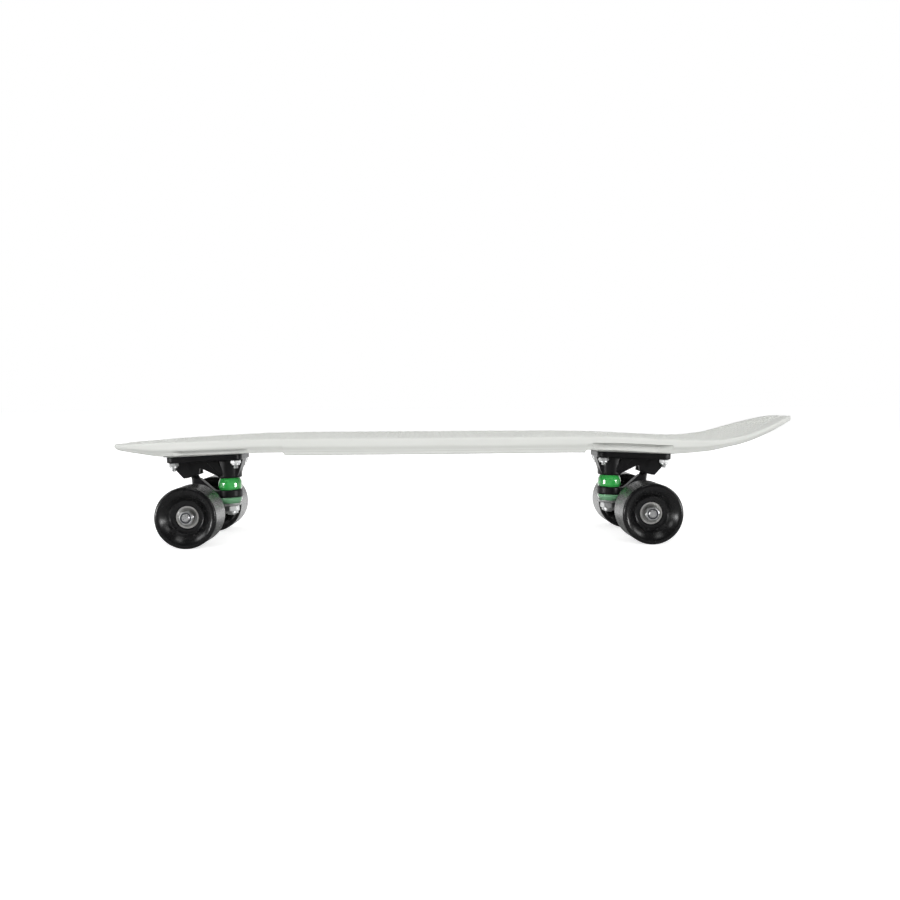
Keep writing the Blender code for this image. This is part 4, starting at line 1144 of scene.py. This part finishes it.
seatFace = kingpinSizes["seat"] - gap
washerFoot = seatFace - kingpinSizes["washer"]
ringHigh = kingpinSizes["ringTop"] + gap
ringLow = kingpinSizes["ringBottom"] - gap
coneFoot = kingpinSizes["coneFoot"]
bushingSizes = {  # outside: corners down the outside, rounded; step: from a bore's end to its first point
    "bore": 0.0058,  # clears the kingpin
    "steps": 96, "longest": 0.0011,
    "Top": {
        "look": "greenUrethane", "slot": "green_bushing_urethane", "rounding": 8, "step": 0.002,
        "board": washerFoot - gap, "truck": ringHigh,
        "outside": [(0.0101, washerFoot - gap, 0.0008), (0.0121, washerFoot - gap - 0.0042, 0.0060),
                    (0.0123, ringHigh + 0.0026, 0.0020), (0.0110, ringHigh, 0.0008)]},
    "Bottom": {
        "look": "paleUrethane", "slot": "pale_green_bushing_urethane", "rounding": 6, "step": 0.001,
        "board": coneFoot, "truck": ringLow,
        "outside": [(0.0112, ringLow, 0.0006), (0.0118, ringLow - 0.0016, 0.0010),
                    (0.0112, ringLow - 0.0032, 0.0010), (0.0088, coneFoot, 0.0006)]},
}


def denser(profile):
    # Splits a profile's long runs into short steps.
    line = []
    for a, b in zip(profile, profile[1:] + profile[:1]):
        count = max(1, math.ceil((Vector(b) - Vector(a)).length / bushingSizes["longest"]))
        line += [tuple(Vector(a).lerp(Vector(b), step / count)) for step in range(count)]
    return line


def kingpinPiece(end, place):
    pin, steps = kingpinSizes["radius"], kingpinSizes["steps"]
    (high, low), (under, over) = kingpinSizes["shank"], kingpinSizes["head"]
    shank = [(0, high), (pin, high), (pin, low), (pin - 0.0004, low - 0.0002), (0, low - 0.0002)]
    rings = hexRings(kingpinSizes["across"], under, over, steps)
    work = bmesh.new()
    skinRings(work, [[(0, 0, under)] * steps] + rings + [[(0, 0, over)] * steps])
    thread = threadedRod(pin, kingpinSizes["pitch"], *kingpinSizes["thread"])
    mesh = joinedMesh([turnedMesh(shank, 48), finishedMesh(work), thread])
    mesh.transform(place)
    piece = newPiece(end + "Kingpin", mesh, finish["zincPlate"])
    dress(cleaned(piece, 40), "board", "zinc_plated_steel", end + "_kingpin")


def washerPieces(end, place):
    bore = kingpinSizes["radius"] + gap
    radius = kingpinSizes["washerRadius"]
    flat = [(bore, seatFace), (radius, seatFace, 0.0003), (radius, washerFoot, 0.0003), (bore, washerFoot),
            (bore, seatFace - 0.0001)]
    cup = [(bore, 0.0022), (0.0098, 0.0022, 0.0010), (0.0110, 0.0048, 0.0003), (0.0104, 0.0048, 0.0002),
           (0.0094, 0.0036, 0.0008), (bore, 0.0036), (bore, 0.0023)]
    for name, profile in (("Top", flat), ("Bottom", cup)):
        washer = turned(f"{end}{name}Washer", roundedLine(profile), kingpinSizes["steps"],
                        finish["zincPlate"], closed=True)
        washer.data.transform(place)
        dress(washer, "board", "zinc_plated_steel", f"{end}_{name.lower()}_washer")


def bushingPiece(end, place, name):
    # A barrel or cone between the board and the truck.
    sizes = bushingSizes[name]
    bore, step, heights = bushingSizes["bore"], sizes["step"], (sizes["board"], sizes["truck"])
    upper, lower = max(heights), min(heights)
    inside = [(bore, lower), (bore, lower + step), (bore, (upper + lower) / 2), (bore, upper - step)]
    profile = denser(roundedLine([(bore, upper)] + sizes["outside"] + inside, sizes["rounding"]))
    bushing = turned(f"{end}{name}Bushing", profile, bushingSizes["steps"], finish[sizes["look"]],
                     closed=True)
    bushing.data.transform(place)
    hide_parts(f"{end}_{name.lower()}_bushing")
    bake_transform(bushing)


def kingpinNut(end, place):
    name = end + "KingpinNut"
    spot = place @ Matrix.Translation((0, 0, kingpinSizes["nutTop"])) @ Matrix.Rotation(math.pi, 4, "X")
    lockNuts(name, name + "Ring", kingpinSizes, kingpinSizes["radius"] + 0.0001, [spot], seeds[name],
             "board", end + "_kingpin_nut")


def pivotCup(end):
    inner = pivotSizes["ball"] + gap
    angles = [math.radians(angle) for angle in range(0, 90, 10)]
    hollow = [(inner * math.cos(angle), inner * math.sin(angle)) for angle in angles]
    outside = roundedLine([(0, 0.0066), (0.0072, 0.0066, 0.0006), (0.0072, -0.0049, 0.0003),
                           (0.0067, -0.0049, 0.0002), (0.0057, -0.0026, 0.0006), hollow[0]], 3)
    cup = turned(end + "PivotCup", outside + hollow[1:] + [(0, inner)], 56, finish["pivotPlastic"])
    cup.data.transform(truckPlace(end) @ pivotPlace)
    dress(cup, "board", "black_pivot_plastic", end + "_pivot_cup")


for end in ends:
    place = truckPlace(end) @ kingpinPlace
    kingpinPiece(end, place)
    washerPieces(end, place)
    bushingPiece(end, place, "Top")
    bushingPiece(end, place, "Bottom")
    kingpinNut(end, place)
    pivotCup(end)
print("kingpin groups made")


# Wheels, bearings and axles

wheelSizes = {"radius": 0.0300, "halfWidth": 0.0225, "treadHalf": 0.0198, "bore": 0.0113, "seat": 0.0050,
              "ledge": 0.0088, "centre": 0.0638, "steps": 112, "treadSteps": 7}
bearingSizes = {"half": 0.0035, "offset": 0.0085, "steps": 80, "shieldSink": 0.0003,
                "ringRadius": 0.00935, "ringSink": 0.00042, "wire": 0.00024, "wireSides": 8,
                "ringStart": 12, "ringSpan": 336, "ringSteps": 60}  # the snap ring's start and span, degrees
axleSizes = {"radius": 0.0040, "plain": 0.0765, "threadStart": 0.0763, "end": 0.0845, "stackEnd": 0.0768,
             "pitch": 0.00106, "across": 0.0127, "nutHeight": 0.0062, "collar": (0.0059, 0.0018)}


def wheelProfile():
    # The outer half of the wheel from the tread to the bearing seat: crisp edge, round lip, dished face.
    radius, treadHalf, bore, seat = [wheelSizes[size] for size in ("radius", "treadHalf", "bore", "seat")]
    lip = flowingLine([(radius - 0.00008, treadHalf + 0.0001), (0.0296, 0.0211), (0.0285, 0.0221),
                       (0.0268, wheelSizes["halfWidth"]), (0.0251, 0.0219), (0.0225, 0.0199),
                       (0.0195, 0.0169), (0.0173, 0.0144), (0.0158, 0.0132), (0.0142, 0.0128),
                       (0.0124, 0.0127)], 5)
    hub = roundedLine([lip[-1], (bore, 0.0126, 0.0004), (bore, seat), (wheelSizes["ledge"], seat)])
    return [(radius, treadHalf)] + lip[:-1] + hub


def wheelPiece(name):
    # The ground tread between two glossy faces.
    radius, treadHalf, count = wheelSizes["radius"], wheelSizes["treadHalf"], wheelSizes["treadSteps"]
    face = wheelProfile()
    tread = [(radius, -treadHalf * (1 - 2 * step / (count + 1))) for step in range(1, count + 1)]
    wheel = turned(name, flipped(face) + tread + face, wheelSizes["steps"], finish["wheelGloss"],
                   finish["wheelGround"], closed=True, angle=24)
    firstRow = len(face) - 1
    for polygon in wheel.data.polygons:
        row = polygon.index // wheelSizes["steps"]
        polygon.material_index = 1 if firstRow <= row <= firstRow + count else 0
    return wheel


def hubPlace(end, side):
    # Local Z points out of the board along the axle.
    sign = sides[side]
    return (Matrix.Translation((truckSizes["axles"][end], sign * wheelSizes["centre"], wheelSizes["radius"]))
            @ Matrix.Rotation(-sign * math.pi / 2, 4, "X"))


def bearingItem():
    half = bearingSizes["half"]
    upper = roundedLine([
        (0.0110, half - 0.0003), (0.0109, half - 0.0001), (0.0108, half), (0.0096, half, 0.0001),
        (0.0095, half - 0.0007, 0.0001), (0.0084, half - 0.0007, 0.0002), (0.0080, half - 0.0010, 0.0003),
        (0.0067, half - 0.0010, 0.0002), (0.0064, half - 0.0013, 0.0001), (0.0062, half - 0.0013)], 3)
    profile = upper + flipped(upper)
    return turned("bearing", profile, bearingSizes["steps"], finish["bearingSteel"], closed=True)


def shieldItem():
    # The pressed shield, stepped down towards the inner ring: a real part, its tone darkened as painted shade
    # for the recess between the rings.
    top = bearingSizes["half"] - bearingSizes["shieldSink"]
    face = roundedLine([
        (0.0092, top - 0.0004), (0.0091, top, 0.0001), (0.0084, top, 0.0002),
        (0.0080, top - 0.0003, 0.0003), (0.0067, top - 0.0003, 0.0002), (0.0065, top - 0.0005)], 3)
    back = [(0.0066, top - 0.0008), (0.0091, top - 0.0006)]
    return turned("shield", face + back, bearingSizes["steps"], finish["shieldSteelPaintedShade"], closed=True)


def snapRingItem():
    # The sprung wire ring that holds the shield, with its open ends.
    radius, wire = bearingSizes["ringRadius"], bearingSizes["wire"]
    height = bearingSizes["half"] - bearingSizes["ringSink"]
    section = [(radius + spot[0], height + spot[1]) for spot in ringAt(wire, 0, bearingSizes["wireSides"])]
    count = bearingSizes["ringSteps"]
    rings = []
    for step in range(count + 1):
        angle = math.radians(bearingSizes["ringStart"] + bearingSizes["ringSpan"] * step / count)
        rings.append([(reach * math.cos(angle), reach * math.sin(angle), up) for reach, up in section])
    work = bmesh.new()
    skinRings(work, rings, capEnds=True)
    return newPiece("snapRing", finishedMesh(work), finish["plainSteel"])


def stackItem():
    # Speed washers, the bearings' inner rings and the spacer tube, with a fine joint line between neighbours.
    bore = axleSizes["radius"] + gap
    upper = roundedLine([
        (0.0054, 0.0), (0.0054, 0.0049, 0.0001), (0.0050, 0.0050), (0.0058, 0.0051, 0.0002),
        (0.0058, 0.0119, 0.0002), (0.0050, 0.0120), (0.0050, 0.0122), (0.0064, 0.0123, 0.0002),
        (0.0064, 0.0130, 0.0002), (bore, 0.0130, 0.0001), (bore, 0.0129)], 3)
    return turned("stack", upper + flipped(upper)[:-1], 56, finish["bearingSteel"], closed=True)


def axlePiece(end):
    # The rod, with a cut thread and a turned centre on each end.
    radius, plain, start = axleSizes["radius"], axleSizes["plain"], axleSizes["threadStart"]
    half = [(0, plain), (radius - 0.0002, plain), (radius, plain - 0.0003)]
    thread = threadedRod(radius, axleSizes["pitch"], start, axleSizes["end"] - start)
    farThread = thread.copy()
    farThread.transform(Matrix.Rotation(math.pi, 4, "X"))
    mesh = joinedMesh([turnedMesh(half + flipped(half), 40), thread, farThread])
    mesh.transform(Matrix.Translation((truckSizes["axles"][end], 0, wheelSizes["radius"])) @ alongAxle)
    piece = newPiece(end + "Axle", mesh, finish["plainSteel"])
    dress(cleaned(piece, 40), end + "_truck", "plain_steel", end + "_axle")


def runningGear():
    bearing, shield, snapRing, stack = bearingItem(), shieldItem(), snapRingItem(), stackItem()
    nutOut = Matrix.Translation((0, 0, axleSizes["stackEnd"] + gap - wheelSizes["centre"]))
    bearingOut = Matrix.Translation((0, 0, bearingSizes["offset"]))
    bearingIn = Matrix.Translation((0, 0, -bearingSizes["offset"])) @ Matrix.Rotation(math.pi, 4, "X")
    for end in ends:
        truck = end + "_truck"
        hubs = [hubPlace(end, side) for side in sides]
        axlePiece(end)
        lockNuts(end + "AxleNuts", end + "AxleNutRings", axleSizes, axleSizes["radius"] + 0.0001,
                 [hub @ nutOut for hub in hubs], seeds["axleNuts"], truck,
                 *[f"{end}_{side}_axle_nut" for side in sides])
        scatter(end + "Stacks", stack, hubs, seeds["stacks"], truck, "plain_steel",
                *[f"{end}_{side}_spacer_stack" for side in sides])
        for side, hub in zip(sides, hubs):
            name, corner = end + side.capitalize(), f"{end}_{side}"
            roller = corner + "_roller"
            spots = [hub @ bearingOut, hub @ bearingIn]
            wheel = wheelPiece(name + "Wheel")
            wheel.data.transform(hub)
            dress(wheel, roller, "black_wheel_urethane", corner + "_wheel")
            scatter(name + "Bearings", bearing, spots, seeds["bearings"], roller, "bearing_shield_steel",
                    corner + "_outer_bearing", corner + "_inner_bearing")
            scatter(name + "Shields", shield, spots, seeds["bearings"], roller, "bearing_shield_steel")
            scatter(name + "SnapRings", snapRing, spots, seeds["snapRings"], roller)
    dropPiece(bearing, shield, snapRing, stack)
    print("wheels, bearings and axles made")


runningGear()


# Studio: floor, lights, world and camera

studioSizes = {
    "floor": 30.0, "bounce": 0.66, "shownTone": 0.74, "shownGlow": 0.72, "backGlow": 1.00,
    "backFade": (-0.20, 0.0), "roomLight": 0.38, "roomFront": 0.17, "roomBack": 0.90, "roomTop": 0.40,
    "roomTurn": (-0.15, 0.35), "roomRise": (0.12, 0.60), "aim": (0, 0, 0.06),
}


def rayIs(tree, *labels):
    path = addNode(tree, "ShaderNodeLightPath").outputs
    flag = path[labels[0]]
    for label in labels[1:]:
        flag = mathNode(tree, "MAXIMUM", flag, path[label])
    return flag


def ramp(tree, value, span, low, high):
    # Eases from low to high as the value crosses the span.
    sockets = {"Value": value, "From Min": span[0], "From Max": span[1], "To Min": low, "To Max": high}
    return addNode(tree, "ShaderNodeMapRange", sockets, interpolation_type="SMOOTHSTEP")


def grey(value):
    return (value, value, value, 1)


def studioFloor():
    # A white sweep: it keeps the object's shadow for the camera and bounces a plain, softer light.
    reach = studioSizes["floor"] / 2
    corners = [(-reach, -reach, 0), (reach, -reach, 0), (reach, reach, 0), (-reach, reach, 0)]
    work = bmesh.new()
    work.faces.new([work.verts.new(corner) for corner in corners])
    material = bpy.data.materials.new("studioFloor")
    material.use_nodes = True
    tree = material.node_tree
    tree.nodes.clear()
    seen = rayIs(tree, "Is Camera Ray", "Is Transmission Ray")
    bounce, shownTone = grey(studioSizes["bounce"]), grey(studioSizes["shownTone"])
    tint = addNode(tree, "ShaderNodeMix", {"Factor": seen, "A": bounce, "B": shownTone}, data_type="RGBA")
    matte = addNode(tree, "ShaderNodeBsdfDiffuse", {"Color": tint})
    position = addNode(tree, "ShaderNodeNewGeometry").outputs["Position"]
    split = addNode(tree, "ShaderNodeSeparateXYZ", {"Vector": position}).outputs
    behind = ramp(tree, split["Y"], studioSizes["backFade"], studioSizes["backGlow"], 0.0)
    shown = mathNode(tree, "MULTIPLY", seen, studioSizes["shownGlow"])
    mirrored = mathNode(tree, "MULTIPLY", rayIs(tree, "Is Glossy Ray"), behind)
    glow = addNode(tree, "ShaderNodeEmission", {"Strength": mathNode(tree, "ADD", shown, mirrored)})
    both = addNode(tree, "ShaderNodeAddShader", {0: matte, 1: glow})
    addNode(tree, "ShaderNodeOutputMaterial", {"Surface": both})
    newPiece("studioFloor", finishedMesh(work), material)


def studioWorld():
    # White wherever the camera looks. The object is lit by a soft even room, bright behind it in its gloss.
    world = bpy.data.worlds.new("studio")
    world.use_nodes = True
    bpy.context.scene.world = world
    tree = world.node_tree
    tree.nodes.clear()
    place = addNode(tree, "ShaderNodeTexCoord").outputs["Generated"]
    split = addNode(tree, "ShaderNodeSeparateXYZ", {"Vector": place}).outputs
    turn = ramp(tree, split["Y"], studioSizes["roomTurn"], studioSizes["roomBack"], studioSizes["roomFront"])
    rise = ramp(tree, split["Z"], studioSizes["roomRise"], 1.0, studioSizes["roomTop"])
    light = addNode(tree, "ShaderNodeMix", {
        "Factor": rayIs(tree, "Is Glossy Ray"), "A": studioSizes["roomLight"],
        "B": mathNode(tree, "MULTIPLY", turn, rise)})
    seen = rayIs(tree, "Is Camera Ray", "Is Transmission Ray")
    strength = addNode(tree, "ShaderNodeMix", {"Factor": seen, "A": light, "B": 1.0})
    background = addNode(tree, "ShaderNodeBackground", {"Color": grey(1.0), "Strength": strength})
    addNode(tree, "ShaderNodeOutputWorld", {"Surface": background})


def studioLights():
    # (name, place, width, height, radiance). A fill lights the surfaces, a glint shows in their gloss.
    lamps = [("frontFill", (0, 2.5, 0.95), 3.0, 0.8, 6.0), ("backFill", (0, -2.6, 0.8), 2.6, 0.8, 3.0),
             ("overheadFill", (0, 0, 2.6), 2.4, 1.2, 0.75)]
    for side, x in sides.items():
        lamps += [(side + "Fill", (2.3 * x, -0.3, 0.55), 1.2, 0.7, 5.0),
                  (side + "Glint", (2.1 * x, 0.3, 1.35), 1.1, 0.8, 6.0),
                  (side + "LowGlint", (1.7 * x, 1.0, 0.13), 0.7, 0.26, 27.0)]
    lamps.append(("overheadGlint", (0, 0.8, 2.4), 0.7, 0.5, 5.0))
    for name, place, width, height, radiance in lamps:
        light = bpy.data.lights.new(name, "AREA")
        light.shape = "RECTANGLE"
        light.size = width
        light.size_y = height
        light.energy = radiance * width * height * math.pi
        lamp = bpy.data.objects.new(name, light)
        bpy.context.scene.collection.objects.link(lamp)
        lamp.location = place
        aim = Vector(studioSizes["aim"]) - Vector(place)
        lamp.rotation_euler = aim.to_track_quat("-Z", "Y").to_euler()
        lamp.visible_camera = False
        lamp.visible_diffuse = name.endswith("Fill")
        lamp.visible_glossy = name.endswith("Glint")


cameraSizes = {"place": (0.0342, 1.011882, 0.142329), "yaw": 0.0279, "pitch": 0.0518, "roll": -0.0057,
               "focalPixels": 960.057, "pictureWidth": 900, "sensor": 36.0, "near": 0.01, "far": 100.0}


def portraitCamera():
    # The photograph's viewpoint: a long side view from just above the deck's height.
    yaw, pitch, roll = cameraSizes["yaw"], cameraSizes["pitch"], cameraSizes["roll"]
    forward = Vector((-math.sin(yaw) * math.cos(pitch), -math.cos(yaw) * math.cos(pitch), -math.sin(pitch)))
    right = Vector((-math.cos(yaw), math.sin(yaw), 0))
    up = right.cross(forward)
    side = right * math.cos(roll) + up * math.sin(roll)
    rise = up * math.cos(roll) - right * math.sin(roll)
    lens = bpy.data.cameras.new("portraitCamera")
    lens.sensor_width = cameraSizes["sensor"]
    lens.lens = cameraSizes["focalPixels"] / cameraSizes["pictureWidth"] * cameraSizes["sensor"]
    lens.clip_start = cameraSizes["near"]
    lens.clip_end = cameraSizes["far"]
    camera = bpy.data.objects.new("portraitCamera", lens)
    turn = Matrix((side, rise, -forward)).transposed().to_4x4()
    camera.matrix_world = Matrix.Translation(cameraSizes["place"]) @ turn
    bpy.context.scene.collection.objects.link(camera)
    bpy.context.scene.camera = camera


studioFloor()
studioWorld()
studioLights()
portraitCamera()
bpy.context.scene.view_settings.view_transform = "Standard"
print("studio made")
